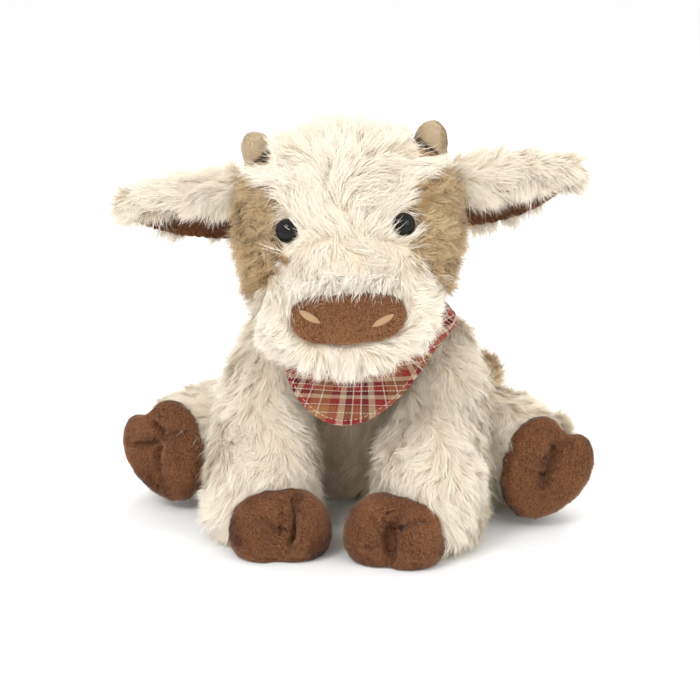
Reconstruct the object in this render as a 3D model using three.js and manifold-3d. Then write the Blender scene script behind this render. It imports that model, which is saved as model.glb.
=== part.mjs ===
// A sitting plush calf with cloven feet, folded ears, short horns and a checked neckerchief.
// Millimetres, +Z up. The body faces -Y, and "left" is the animal's own left, at +X.
// Every fur surface is drawn half way up its pile.
// Each sewn seam that flexes is a hinge through the origin of the group that it carries.
import * as THREE from 'three';
import { mergeVertices } from 'three/addons/utils/BufferGeometryUtils.js';
import Module from 'manifold-3d';

const wasm = await Module();
wasm.setup();

// Fits
const SEAM_GAP = 0.3;
const FLAT_DEPTH = 0.5;
const OVERRUN = 60;
const SWEEP_STEP = 6;
const SWEEP_GAP = 0.9;

// Plush fabric, its backing and half of the pile together
const FUR_WALL = 6;

// Torso, a pear that leans forward from the seat to the neck
const TORSO_HEIGHT = 164;
const TORSO_HALF_WIDTH = 74;
const TORSO_HALF_DEPTH = 58;
const SEAT_BACK = 60;
const NECK_FORWARD = 14;
const NECK_OPENING_RADIUS = 15;
const TORSO_SIDES = 20;
const CAVITY_SIDES = 12;
const LEG_SIDES = 16;
// Height, half width, half depth, and how much of the lean is left at that height
const torsoRingShares = [
  [0, 0.66, 0.66, 1],
  [0.03, 0.8, 0.8, 1],
  [0.1, 0.94, 0.94, 0.99],
  [0.24, 1, 1, 0.94],
  [0.4, 0.985, 1, 0.82],
  [0.56, 0.91, 0.95, 0.62],
  [0.7, 0.8, 0.86, 0.4],
  [0.82, 0.68, 0.75, 0.2],
  [0.91, 0.57, 0.64, 0.08],
  [0.97, 0.48, 0.54, 0.02],
  [1, 0.34, 0.38, 0],
];

// Pouch of pellets that weights the seat
const POUCH_HALF_WIDTH = 44;
const POUCH_HALF_DEPTH = 32;
const POUCH_HEIGHT = 34;
// Height, and the size of the ring there
const pouchRingShares = [
  [0, 0.72],
  [0.12, 0.92],
  [0.42, 1],
  [0.78, 0.78],
  [1, 0.3],
];

// Head, lofted from the nape to the nose
const HEAD_HALF_WIDTH = 71;
const HEAD_HALF_HEIGHT = 60;
const HEAD_LENGTH = 154;
const HEAD_REACH = 106;
const HEAD_LIFT = 36;
const HEAD_OFFSET = 1.5;
const HEAD_TURN = 6;
const HEAD_ROLL = 3.5;
const HEAD_SIDES = 20;
const HEAD_SQUARENESS = 0.92;
const NECK_RANGE = [-12, 0];
// Distance from the nape, half width, half height, and the ring's drop in head half heights
const headRingShares = [
  [0, 0.24, 0.28, 0.06],
  [0.05, 0.56, 0.61, 0.05],
  [0.15, 0.84, 0.88, 0.02],
  [0.32, 1, 1.01, -0.02],
  [0.48, 0.99, 1.01, 0.02],
  [0.6, 0.93, 0.96, 0.13],
  [0.7, 0.89, 0.83, 0.37],
  [0.8, 0.84, 0.64, 0.64],
  [0.9, 0.77, 0.52, 0.78],
  [0.97, 0.6, 0.43, 0.81],
  [1, 0.4, 0.3, 0.81],
];

// Tan panels at the sides of the head, where an upright oval meets it
const PATCH_OUT = 74;
const PATCH_BACK = 52;
const PATCH_RISE = 7;
const PATCH_HALF_WIDTH = 41;
const PATCH_HALF_DEPTH = 46;
const PATCH_HALF_HEIGHT = 46;
const PATCH_SIDES = 14;
const PATCH_RINGS = 8;

// Nose panel and its embroidered nostrils
const NOSE_HALF_WIDTH = 35;
const NOSE_DROP = 25;
const NOSE_HEIGHT = 31;
const NOSE_SIDES = 16;
const NOSE_SQUARENESS = 0.62;
const NOSTRIL_OUT = 23;
const NOSTRIL_HALF_LENGTH = 7.5;
const NOSTRIL_HALF_WIDTH = 2.8;
const NOSTRIL_THICKNESS = 1.2;
const NOSTRIL_TILT = 30;
const nostrilDownShares = { left: 0.58, right: 0.46 };
const nostrilFacingShares = [0.2, -1, 0.1];

// Button eyes, each with a washer on its ribbed shank behind the fabric
const EYE_OUT = 36.5;
const EYE_UP = 7.5;
const EYE_RADIUS = 7.5;
const EYE_DOME = 5.5;
const EYE_FLANGE = 1.2;
const EYE_RECESS = 2.2;
const SHANK_RADIUS = 2;
const SHANK_RIB = 0.5;
const SHANK_RIBS = 2;
const SHANK_LENGTH = 15;
const WASHER_RADIUS = 9;
const WASHER_THICKNESS = 1.4;
const EYE_SIDES = 12;
// The way that an eye faces: outward, back and up
const eyeFacingShares = [0.42, -0.88, 0.22];
// How far round the dome from its rim to its crown
const eyeDomeShares = [0, 0.35, 0.65, 0.87];

// Horns, each a stuffed cone
const HORN_RADIUS = 12;
const HORN_LENGTH = 32;
const HORN_BURIED = 12;
const HORN_OUT = 53;
const HORN_FROM_NAPE = 42;
const hornLeans = { left: 11, right: 26 };
const HORN_SIDES = 10;
// Place along the horn, and its girth there
const hornShares = [
  [0, 0.7],
  [0.3, 1],
  [0.62, 0.94],
  [0.83, 0.76],
  [0.95, 0.44],
  [1, 0.16],
];

// Ears, each a leaf folded along its length: fur outside, short pile inside
const EAR_REACH = 81;
const EAR_RISE_POWER = 3;
const earRises = { left: 14, right: 4 };
const EAR_BURIED = 14;
const EAR_OUT = 67;
const EAR_UP = 6;
const EAR_FROM_NAPE = 32;
const EAR_HALF_DEPTH = 13;
const EAR_HALF_HEIGHT = 25.5;
const EAR_FUR = 5;
const EAR_LINING = 1.6;
const EAR_FRONT_EDGE = 2;
const EAR_REAR_EDGE = 248;
const EAR_RANGE = [-20, 30];
const EAR_ARC_STEPS = 6;
const EAR_RIM_SHARE = 0.3;
// Place along the ear, and its girth there
const earShares = [
  [0, 0.7],
  [0.2, 1],
  [0.42, 0.96],
  [0.62, 0.85],
  [0.8, 0.66],
  [0.93, 0.45],
  [1, 0.26],
];

// Forelegs, from the shoulder forward and down to the ground
const SHOULDER_OUT = 52;
const SHOULDER_HEIGHT = 102;
const FORELEG_GIRTH = 36;
const FORELEG_BURIED = 22;
const FORELEG_SPREAD = 3;
const FORELEG_KNEE_AHEAD = 38;
const SHOULDER_RISE_SHARE = 0.85;
const SHOULDER_CROWN = 5;
const KNEE_DROP_SHARE = 0.34;
const FETLOCK_DROP_SHARE = 0.7;
const FORELEG_FOOT_AHEAD = 66;
const FORELEG_FOOT_OUT = 3;
const FORELEG_RANGE = [0, 10];
// Place along the leg, and its girth there
const forelegShares = [
  [0, 0.55],
  [0.06, 0.7],
  [0.18, 0.8],
  [0.36, 0.9],
  [0.56, 0.95],
  [0.74, 1.01],
  [0.88, 1.06],
  [0.96, 0.88],
  [1, 0.55],
];

// Hind legs, lying out to the sides with their soles forward
const HIP_OUT = 60;
const HIP_BACK = 30;
const HIP_HEIGHT = 42;
const HINDLEG_GIRTH = 42;
const HINDLEG_BURIED = 34;
const HINDLEG_REACH_OUT = 68;
const HINDLEG_REACH_AHEAD = 50;
const HINDLEG_BEND = 7;
const ANKLE_HEIGHT = 40;
const HINDLEG_RANGE = [0, 18];
// Place along the leg, and its girth there
const hindlegShares = [
  [0, 0.6],
  [0.06, 0.82],
  [0.2, 0.97],
  [0.42, 0.97],
  [0.63, 0.9],
  [0.82, 0.82],
  [0.93, 0.7],
  [1, 0.42],
];

// Cloven hooves
const HOOF_HALF_WIDTH = 38;
const HOOF_HALF_LENGTH = 29;
const HOOF_HEIGHT = 43;
const HOOF_SIDES = 20;
const HOOF_CROWDING = 0.55;
const HOOF_HEEL_TAPER = 0.28;
const CLEFT_HALF_ANGLE = 15;
const FORE_HOOF_TURN = 9;
const FORE_HOOF_AHEAD = 27;
const FORE_HOOF_INWARD = 15;
const HIND_HOOF_HALF_WIDTH = 35;
const HIND_HOOF_HALF_LENGTH = 36;
const HIND_HOOF_SPLAY = 30;
const HIND_HOOF_THICKNESS = 30;
const HIND_HOOF_SET_BACK = 12;
const HIND_HOOF_TURN = 16;
const HIND_HOOF_TIP = 8;
// Height, half width, half length, and the depth of the cleft as a part of the radius
const hoofRingShares = [
  [-0.1, 0.5, 0.5, 0.03],
  [0.02, 0.86, 0.87, 0.1],
  [0.2, 1, 1, 0.24],
  [0.46, 1, 0.98, 0.33],
  [0.72, 0.9, 0.87, 0.34],
  [0.92, 0.62, 0.58, 0.22],
  [1, 0.28, 0.26, 0.08],
];

// Tail, curled round to the left hip, with a tuft at its end
const TAIL_RADIUS = 6.5;
const TAIL_HEIGHT = 56;
const TAIL_LEFT = 6;
const TAIL_BURIED = 6;
const TAIL_REACH = 80;
const TAIL_SIDES = 10;
const TAIL_STEPS = 4;
const TUFT_RADIUS = 11;
const TAIL_RANGE = [0, 40];
// Left of the tail's root, behind it and above it, in tail reaches
const tailPathShares = [
  [0, 0, 0],
  [0.22, 0.05, 0.07],
  [0.5, 0.02, 0.13],
  [0.8, -0.17, 0.19],
  [0.94, -0.36, 0.2],
  [0.98, -0.54, 0.14],
];
const TAIL_BARE_SHARE = 0.55;
// Place along the stretch, and its girth there
const tailShares = [
  [0, 0.8],
  [0.1, 1],
  [0.6, 0.95],
  [1, 0.8],
];
const tuftShares = [
  [0, 0.5],
  [0.15, 0.82],
  [0.42, 1],
  [0.72, 0.86],
  [0.92, 0.5],
  [1, 0.18],
];

// Neckerchief, a band round the neck that hangs to a rounded point in front
const SCARF_TOP = 145;
const SCARF_FRONT_DROP = 16;
const SCARF_REAR_RISE = 3;
const SCARF_BAND = 12;
const SCARF_BIB = 52;
const SCARF_BIB_LIFT = 46;
const SCARF_ROOM_DEPTH = 14;
const SCARF_NECK_LIFT = 3;
const SCARF_CLOTH = 1.4;
const SCARF_FOLD = 1.5;
const SCARF_FOLDS = 5;
const SCARF_TURN = 3;
const SCARF_BIB_POWER = 10;
const SCARF_ROOM_SHARE = 1.08;
const SCARF_STEPS = 32;
const SCARF_ROWS = 3;
const KNOT_RADIUS = 8;
const KNOT_TAIL_LENGTH = 24;
const KNOT_TAIL_HALF_WIDTH = 5;
const KNOT_TAIL_SPREAD = 24;
const KNOT_TAIL_SLOPE = 40;
const KNOT_SIDES = 10;
const KNOT_TAIL_ROOT_SHARE = 0.6;
const knotSizeShares = [1.15, 0.7, 0.85];

// Colours
const CREAM = 0xede0c8;
const TAN = 0xc19a6b;
const HORN_TAN = 0xb08d62;
const BROWN = 0x7a4a2c;
const FIBRE = 0xf7f5ef;
const POUCH_GREY = 0xd8d4cb;
const BLACK = 0x0a0909;
const CHECK_RED = 0xa8443c;
const THREAD = 0xc59a5f;
const WASHER_WHITE = 0xe8e6e0;

const xAxis = new THREE.Vector3(1, 0, 0);
const yAxis = new THREE.Vector3(0, 1, 0);
const zAxis = new THREE.Vector3(0, 0, 1);
const radians = THREE.MathUtils.degToRad;

// Closed meshes

function indexed(points, faces) {
  const geometry = new THREE.BufferGeometry();
  const places = points.flatMap((p) => [p.x, p.y, p.z]);
  geometry.setAttribute('position', new THREE.Float32BufferAttribute(places, 3));
  geometry.setIndex(faces);
  return facingOut(geometry);
}

function signedVolume(geometry) {
  const position = geometry.getAttribute('position');
  const index = geometry.getIndex();
  const [a, b, c] = [new THREE.Vector3(), new THREE.Vector3(), new THREE.Vector3()];
  let sum = 0;
  for (let i = 0; i < index.count; i += 3) {
    a.fromBufferAttribute(position, index.getX(i));
    b.fromBufferAttribute(position, index.getX(i + 1));
    c.fromBufferAttribute(position, index.getX(i + 2));
    sum += a.dot(b.cross(c));
  }
  return sum;
}

function facingOut(geometry) {
  if (signedVolume(geometry) < 0) {
    const index = Array.from(geometry.getIndex().array);
    for (let i = 0; i < index.length; i += 3) {
      [index[i], index[i + 1]] = [index[i + 1], index[i]];
    }
    geometry.setIndex(index);
  }
  return geometry;
}

// A body through closed rings of points, with a fan over the first and the last.
function loft(rings) {
  const sides = rings[0].length;
  const points = rings.flat();
  const faces = [];
  for (let r = 0; r + 1 < rings.length; r += 1) {
    for (let s = 0; s < sides; s += 1) {
      const a = r * sides + s;
      const b = r * sides + ((s + 1) % sides);
      faces.push(a, b, a + sides, b, b + sides, a + sides);
    }
  }
  for (const [ring, start] of [[0, 0], [rings.length - 1, (rings.length - 1) * sides]]) {
    const middle = rings[ring].reduce((sum, p) => sum.add(p), new THREE.Vector3()).divideScalar(sides);
    points.push(middle);
    for (let s = 0; s < sides; s += 1) {
      const edge = [start + s, start + ((s + 1) % sides)];
      faces.push(...(start === 0 ? edge.reverse() : edge), points.length - 1);
    }
  }
  return indexed(points, faces);
}

// A thick sheet between two grids of points. A wrapped sheet closes on itself along its rows.
function thickSheet(outer, inner, wrapped) {
  const rows = outer.length;
  const columns = outer[0].length;
  const points = [...outer.flat(), ...inner.flat()];
  const faces = [];
  const at = (side, row, column) => (side * rows + row) * columns + (column % columns);
  const quad = (a, b, c, d) => faces.push(a, b, c, a, c, d);
  const spans = wrapped ? columns : columns - 1;
  for (let c = 0; c < spans; c += 1) {
    for (let r = 0; r + 1 < rows; r += 1) {
      quad(at(0, r, c), at(0, r, c + 1), at(0, r + 1, c + 1), at(0, r + 1, c));
      quad(at(1, r, c), at(1, r + 1, c), at(1, r + 1, c + 1), at(1, r, c + 1));
    }
    quad(at(0, 0, c), at(1, 0, c), at(1, 0, c + 1), at(0, 0, c + 1));
    quad(at(0, rows - 1, c), at(0, rows - 1, c + 1), at(1, rows - 1, c + 1), at(1, rows - 1, c));
  }
  for (let r = 0; r + 1 < rows && !wrapped; r += 1) {
    quad(at(0, r, 0), at(0, r + 1, 0), at(1, r + 1, 0), at(1, r, 0));
    quad(at(0, r, spans), at(1, r, spans), at(1, r + 1, spans), at(0, r + 1, spans));
  }
  return indexed(points, faces);
}

// Every other row of a table and its last: enough for a wall that is never seen
function halved(shares) {
  return shares.filter((_, i) => i % 2 === 0 || i === shares.length - 1);
}

// A ring round a centre: an ellipse, or below a squareness of 1 one with fuller corners
function ellipse(centre, across, over, halfWidth, halfHeight, sides, squareness = 1) {
  const squared = (share) => Math.sign(share) * Math.abs(share) ** squareness;
  return Array.from({ length: sides }, (_, s) => {
    const turn = (2 * Math.PI * s) / sides;
    return centre.clone()
      .addScaledVector(across, halfWidth * squared(Math.cos(turn)))
      .addScaledVector(over, halfHeight * squared(Math.sin(turn)));
  });
}

// A stuffed tube along a smooth path, its surface set in by the inset everywhere but at its root.
function limb(path, girth, shares, sides, level, inset) {
  const curve = new THREE.CatmullRomCurve3(path);
  const kept = 1 - Math.max(0, inset) / curve.getLength();
  return loft(shares.map(([place, size]) => {
    const along = place * kept;
    const tangent = curve.getTangentAt(along);
    const over = new THREE.Vector3().crossVectors(tangent, level).normalize();
    const across = new THREE.Vector3().crossVectors(over, tangent).normalize();
    const radius = girth * size - inset;
    return ellipse(curve.getPointAt(along), across, over, radius, radius, sides);
  }));
}

// A leg's surface, or with an inset the surface of its stuffing
function stuffedLimb(path, girth, shares, level, inset) {
  const hidden = inset > 0;
  return limb(path, girth, hidden ? halved(shares) : shares, hidden ? CAVITY_SIDES : LEG_SIDES, level, inset);
}

// A round piece from a profile of [radius, height] pairs, turned about +Z.
function turned(profile, sides) {
  const points = profile.map(([radius, height]) => new THREE.Vector2(radius, height));
  return new THREE.LatheGeometry(points, sides).rotateX(Math.PI / 2);
}

// Solids for cuts and joins

function toSolid(geometry) {
  const bare = geometry.clone();
  bare.deleteAttribute('normal');
  bare.deleteAttribute('uv');
  const merged = facingOut(mergeVertices(bare));
  return new wasm.Manifold(new wasm.Mesh({
    numProp: 3,
    vertProperties: new Float32Array(merged.getAttribute('position').array),
    triVerts: new Uint32Array(merged.getIndex().array),
  }));
}

function toGeometry(solid) {
  const mesh = solid.getMesh();
  const geometry = new THREE.BufferGeometry();
  geometry.setAttribute('position', new THREE.BufferAttribute(new Float32Array(mesh.vertProperties), 3));
  geometry.setIndex(new THREE.BufferAttribute(new Uint32Array(mesh.triVerts), 1));
  geometry.computeVertexNormals();
  return geometry;
}

function movedSolid(solid, matrix) {
  return solid.transform(matrix.elements);
}

function largest(solid) {
  return solid.decompose().reduce((best, one) => (one.volume() > best.volume() ? one : best));
}

function mirrored(solid) {
  return solid.scale([-1, 1, 1]);
}

// What is left of a piece that turns about an axis through the origin once it clears the obstacles.
function clearOf(piece, obstacles, axis, [lowest, highest]) {
  const steps = Math.max(1, Math.ceil((highest - lowest) / SWEEP_STEP));
  let left = piece;
  for (let s = 0; s <= steps; s += 1) {
    const angle = lowest + ((highest - lowest) * s) / steps;
    const back = new THREE.Matrix4().makeRotationAxis(axis, radians(-angle));
    for (const obstacle of obstacles) {
      left = left.subtract(movedSolid(obstacle, back));
    }
  }
  return left;
}

// Everything under the ground, for a group whose origin is at this height above it.
function underground(height) {
  const wide = 2 * (TORSO_HALF_WIDTH + TORSO_HALF_DEPTH + HEAD_LENGTH);
  return toSolid(new THREE.BoxGeometry(wide, wide, OVERRUN).translate(0, 0, -height - OVERRUN / 2));
}

function mesh(name, shape, color, roughness = 0.95) {
  const geometry = shape.isBufferGeometry ? shape : toGeometry(shape);
  const made = new THREE.Mesh(geometry, new THREE.MeshStandardMaterial({ color, roughness, metalness: 0 }));
  made.name = name;
  return made;
}

function sidedVector([outward, back, up], side) {
  return new THREE.Vector3(side * outward, back, up);
}

function surfaceHit(geometry, from, direction) {
  const target = new THREE.Mesh(geometry, new THREE.MeshBasicMaterial({ side: THREE.DoubleSide }));
  return new THREE.Raycaster(from, direction).intersectObject(target)[0];
}

// Turns +Z to a surface's outward direction, at a point on it.
function standingOn(point, outward) {
  const turn = new THREE.Quaternion().setFromUnitVectors(zAxis, outward);
  return new THREE.Matrix4().compose(point, turn, new THREE.Vector3(1, 1, 1));
}

// Torso

function torsoSection(height) {
  const share = THREE.MathUtils.clamp((height + FLAT_DEPTH) / TORSO_HEIGHT, 0, 1);
  const above = Math.max(1, torsoRingShares.findIndex(([place]) => place >= share));
  const [low, high] = [torsoRingShares[above - 1], torsoRingShares[above]];
  const part = (share - low[0]) / (high[0] - low[0]);
  const [, width, depth, lean] = low.map((value, i) => value + (high[i] - value) * part);
  return {
    middle: -NECK_FORWARD + lean * (SEAT_BACK + NECK_FORWARD),
    halfWidth: TORSO_HALF_WIDTH * width,
    halfDepth: TORSO_HALF_DEPTH * depth,
  };
}

function torsoForm(sides, inset) {
  const rings = inset > 0 ? halved(torsoRingShares) : torsoRingShares;
  return loft(rings.map(([share]) => {
    const { middle, halfWidth, halfDepth } = torsoSection(share * TORSO_HEIGHT - FLAT_DEPTH);
    const height = inset - FLAT_DEPTH + share * (TORSO_HEIGHT - 2 * inset);
    return ellipse(
      new THREE.Vector3(0, middle, height), xAxis, yAxis, halfWidth - inset, halfDepth - inset, sides,
    );
  }));
}

const torsoOuter = torsoForm(TORSO_SIDES, 0);
const torsoClearance = toSolid(torsoForm(TORSO_SIDES, -SEAM_GAP));

function pouchForm(grown) {
  const floor = FUR_WALL - FLAT_DEPTH + SEAM_GAP - grown;
  return loft(pouchRingShares.map(([height, size]) => ellipse(
    new THREE.Vector3(0, SEAT_BACK, floor + height * (POUCH_HEIGHT + 2 * grown)), xAxis, yAxis,
    POUCH_HALF_WIDTH * size + grown, POUCH_HALF_DEPTH * size + grown, CAVITY_SIDES,
  )));
}

function buildTorso() {
  const neckHole = new THREE.CylinderGeometry(NECK_OPENING_RADIUS, NECK_OPENING_RADIUS, OVERRUN, CAVITY_SIDES)
    .rotateX(Math.PI / 2)
    .translate(0, -NECK_FORWARD, TORSO_HEIGHT);
  const skin = toSolid(torsoOuter)
    .subtract(toSolid(torsoForm(CAVITY_SIDES, FUR_WALL)))
    .subtract(toSolid(neckHole))
    .subtract(underground(0));
  const fill = toSolid(torsoForm(CAVITY_SIDES, FUR_WALL + SEAM_GAP))
    .subtract(toSolid(pouchForm(SEAM_GAP)));
  return [
    mesh('torso_skin', skin, CREAM),
    mesh('torso_fill', fill, FIBRE),
    mesh('pellet_pouch', pouchForm(0), POUCH_GREY),
  ];
}

// Neckerchief

// One place on the cloth: turn 0 is the front, and drop runs from 0 at the neck to 1 at the hem.
function scarfPoint(turn, drop, outward) {
  const ahead = Math.cos(turn);
  const frontness = Math.max(0, ahead) ** SCARF_BIB_POWER;
  const fall = SCARF_BAND + (SCARF_BIB - SCARF_BAND) * frontness;
  const top = SCARF_TOP - (ahead > 0 ? SCARF_FRONT_DROP : SCARF_REAR_RISE) * ahead;
  const height = top - drop * fall;
  const { middle, halfWidth, halfDepth } = torsoSection(height);
  const lean = SCARF_BIB_LIFT * Math.sqrt(frontness);
  const fold = SCARF_FOLD * frontness * Math.cos(SCARF_FOLDS * turn);
  const out = SCARF_NECK_LIFT + drop * (lean + fold) + outward;
  const around = turn + radians(SCARF_TURN);
  return new THREE.Vector3(
    (halfWidth + out) * Math.sin(around),
    middle - (halfDepth + out) * Math.cos(around),
    height,
  );
}

// The cloth between two distances off its inner face, down to its hem or a little further
function scarfSheet(inside, outside, hemShare) {
  const grid = (outward) => Array.from({ length: SCARF_ROWS + 1 }, (_, r) => (
    Array.from({ length: SCARF_STEPS }, (__, c) => (
      scarfPoint((2 * Math.PI * c) / SCARF_STEPS, (hemShare * r) / SCARF_ROWS, outward)
    ))
  ));
  return thickSheet(grid(outside), grid(inside), true);
}

function knotSolid(grown) {
  const nape = scarfPoint(Math.PI - radians(SCARF_TURN), 0.5, SCARF_CLOTH + SEAM_GAP);
  const middle = nape.add(new THREE.Vector3(0, knotSizeShares[1] * KNOT_RADIUS, 0));
  const ball = new THREE.SphereGeometry(KNOT_RADIUS, KNOT_SIDES, KNOT_SIDES / 2)
    .scale(...knotSizeShares.map((share) => share + grown / KNOT_RADIUS))
    .translate(...middle);
  let knot = toSolid(ball);
  for (const side of [-1, 1]) {
    const rings = [[0, KNOT_TAIL_ROOT_SHARE], [1, 1]].map(([along, width]) => ellipse(
      new THREE.Vector3(0, 0, -along * (KNOT_TAIL_LENGTH + grown)), xAxis, yAxis,
      KNOT_TAIL_HALF_WIDTH * width + grown, SCARF_CLOTH + grown, KNOT_SIDES,
    ));
    const hang = new THREE.Matrix4().makeTranslation(...middle)
      .multiply(new THREE.Matrix4().makeRotationX(radians(KNOT_TAIL_SLOPE)))
      .multiply(new THREE.Matrix4().makeRotationY(radians(-side * KNOT_TAIL_SPREAD)));
    knot = knot.add(movedSolid(toSolid(loft(rings)), hang));
  }
  return knot;
}

const knotClearance = knotSolid(SEAM_GAP);
const scarfClearance = toSolid(scarfSheet(-SWEEP_GAP, SCARF_CLOTH + SWEEP_GAP, 1));

// The cloth and all the room in front of it, which a shoulder and its stuffing keep out of
function scarfRoom(depth) {
  return toSolid(scarfSheet(-SWEEP_GAP - depth, SCARF_ROOM_DEPTH, SCARF_ROOM_SHARE + depth / SCARF_BIB));
}

function buildScarf() {
  const knot = knotSolid(0).subtract(torsoClearance).subtract(scarfClearance);
  return [
    mesh('neckerchief', scarfSheet(0, SCARF_CLOTH, 1), CHECK_RED, 0.8),
    mesh('neckerchief_knot', largest(knot), CHECK_RED, 0.8),
  ];
}

// Head

function napeBehind() {
  return HEAD_LENGTH - HEAD_REACH;
}

function headForm(sides, inset) {
  return loft(headRingShares.map(([place, width, height, drop]) => {
    const behind = napeBehind() - inset - place * (HEAD_LENGTH - 2 * inset);
    return ellipse(
      new THREE.Vector3(0, behind, HEAD_LIFT - drop * HEAD_HALF_HEIGHT), xAxis, zAxis,
      HEAD_HALF_WIDTH * width - inset, HEAD_HALF_HEIGHT * height - inset, sides, HEAD_SQUARENESS,
    );
  }));
}

const headOuter = headForm(HEAD_SIDES, 0);
const headClearance = toSolid(headForm(HEAD_SIDES, -SEAM_GAP));

const headGroup = new THREE.Group();
headGroup.position.set(-HEAD_OFFSET, -NECK_FORWARD, TORSO_HEIGHT);
headGroup.rotation.set(0, radians(-HEAD_ROLL), radians(HEAD_TURN), 'ZYX');
headGroup.updateMatrixWorld();

// The place and facing of an eye socket on the front of the head
function eyeSeat(side) {
  const from = new THREE.Vector3(side * EYE_OUT, -HEAD_LENGTH, HEAD_LIFT + EYE_UP);
  const hit = surfaceHit(headOuter, from, yAxis);
  const facing = sidedVector(eyeFacingShares, side).normalize();
  return standingOn(hit.point.addScaledVector(facing, -EYE_RECESS), facing);
}

function eyeProfile() {
  const ribs = Array.from({ length: SHANK_RIBS }, (_, r) => {
    const height = -SHANK_LENGTH + ((r + 0.5) * SHANK_LENGTH) / (2 * SHANK_RIBS);
    const top = height + SHANK_LENGTH / (4 * SHANK_RIBS);
    return [[SHANK_RADIUS, height], [SHANK_RADIUS + SHANK_RIB, top], [SHANK_RADIUS, top]];
  });
  const dome = eyeDomeShares.map((part) => [
    EYE_RADIUS * Math.cos((part * Math.PI) / 2), EYE_DOME * Math.sin((part * Math.PI) / 2),
  ]);
  return [
    [0, -SHANK_LENGTH], [SHANK_RADIUS, -SHANK_LENGTH], ...ribs.flat(),
    [SHANK_RADIUS, -EYE_FLANGE], [EYE_RADIUS, -EYE_FLANGE], ...dome, [0, EYE_DOME],
  ];
}

function washerHeight() {
  return EYE_RECESS - FUR_WALL - 2 * SEAM_GAP;
}

// A plain round plug, for the room that an eye or a washer needs
function plug(radius, bottom, top) {
  return toSolid(turned([[0, bottom], [radius, bottom], [radius, top], [0, top]], EYE_SIDES));
}

function washer() {
  const bore = SHANK_RADIUS + SHANK_RIB + SEAM_GAP;
  const [top, bottom] = [washerHeight(), washerHeight() - WASHER_THICKNESS];
  const corners = [[bore, bottom], [WASHER_RADIUS, bottom], [WASHER_RADIUS, top], [bore, top]];
  return turned([...corners, corners[0]], EYE_SIDES);
}

function eyeRoom() {
  const throat = SHANK_RADIUS + SHANK_RIB + SEAM_GAP;
  return plug(EYE_RADIUS + SEAM_GAP, -EYE_FLANGE - SEAM_GAP, OVERRUN)
    .add(plug(throat, -SHANK_LENGTH - SEAM_GAP, 0));
}

function washerRoom() {
  const throat = SHANK_RADIUS + SHANK_RIB + SEAM_GAP;
  const [top, bottom] = [washerHeight() + SEAM_GAP, washerHeight() - WASHER_THICKNESS - SEAM_GAP];
  return plug(WASHER_RADIUS + SEAM_GAP, bottom, top).add(plug(throat, -SHANK_LENGTH - SEAM_GAP, 0));
}

function patchForm(inset) {
  return new THREE.SphereGeometry(1, PATCH_SIDES, PATCH_RINGS)
    .rotateX(Math.PI / 2)
    .scale(PATCH_HALF_WIDTH - inset, PATCH_HALF_DEPTH - inset, PATCH_HALF_HEIGHT - inset)
    .translate(PATCH_OUT, PATCH_BACK - HEAD_REACH, HEAD_LIFT + PATCH_RISE);
}

// The nose panel's outline, squared at its ends, as a prism that runs back from the front of the head
function noseForm(grown) {
  const outline = new THREE.Shape(Array.from({ length: NOSE_SIDES }, (_, s) => {
    const turn = (2 * Math.PI * s) / NOSE_SIDES;
    const [x, z] = [Math.cos(turn), Math.sin(turn)];
    const low = z < 0 ? 1 : NOSE_SQUARENESS;
    return new THREE.Vector2(
      (NOSE_HALF_WIDTH + grown) * Math.sign(x) * Math.abs(x) ** NOSE_SQUARENESS,
      (NOSE_HEIGHT / 2 + grown) * Math.sign(z) * Math.abs(z) ** low,
    );
  }));
  const depth = HEAD_LENGTH / 4;
  return new THREE.ExtrudeGeometry(outline, { depth: depth + OVERRUN, bevelEnabled: false })
    .rotateX(Math.PI / 2)
    .translate(0, depth - HEAD_REACH, HEAD_LIFT - NOSE_DROP - NOSE_HEIGHT / 2);
}

function nostril(side, name) {
  const height = HEAD_LIFT - NOSE_DROP - nostrilDownShares[name] * NOSE_HEIGHT;
  const hit = surfaceHit(headOuter, new THREE.Vector3(side * NOSTRIL_OUT, -HEAD_LENGTH, height), yAxis);
  const facing = sidedVector(nostrilFacingShares, side).normalize();
  const bead = new THREE.SphereGeometry(1, EYE_SIDES, EYE_SIDES / 2)
    .scale(NOSTRIL_HALF_LENGTH, NOSTRIL_HALF_WIDTH, NOSTRIL_THICKNESS)
    .rotateZ(radians(side * NOSTRIL_TILT));
  return movedSolid(toSolid(bead), standingOn(hit.point, facing)).subtract(headClearance);
}

function hornForm(side, name, grown) {
  const lean = radians(hornLeans[name]);
  const above = new THREE.Vector3(side * HORN_OUT, napeBehind() - HORN_FROM_NAPE, HEAD_LENGTH);
  const up = new THREE.Vector3(side * Math.sin(lean), 0, Math.cos(lean));
  const hit = surfaceHit(headOuter, above, zAxis.clone().negate());
  const start = hit.point.clone().addScaledVector(up, -HORN_BURIED);
  const tip = start.clone().addScaledVector(up, HORN_LENGTH);
  return limb([start, start.clone().lerp(tip, 0.5), tip], HORN_RADIUS, hornShares, HORN_SIDES, yAxis, -grown);
}

const headFixed = [torsoClearance, scarfClearance, knotClearance]
  .map((solid) => movedSolid(solid, headGroup.matrixWorld.clone().invert()));

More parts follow.
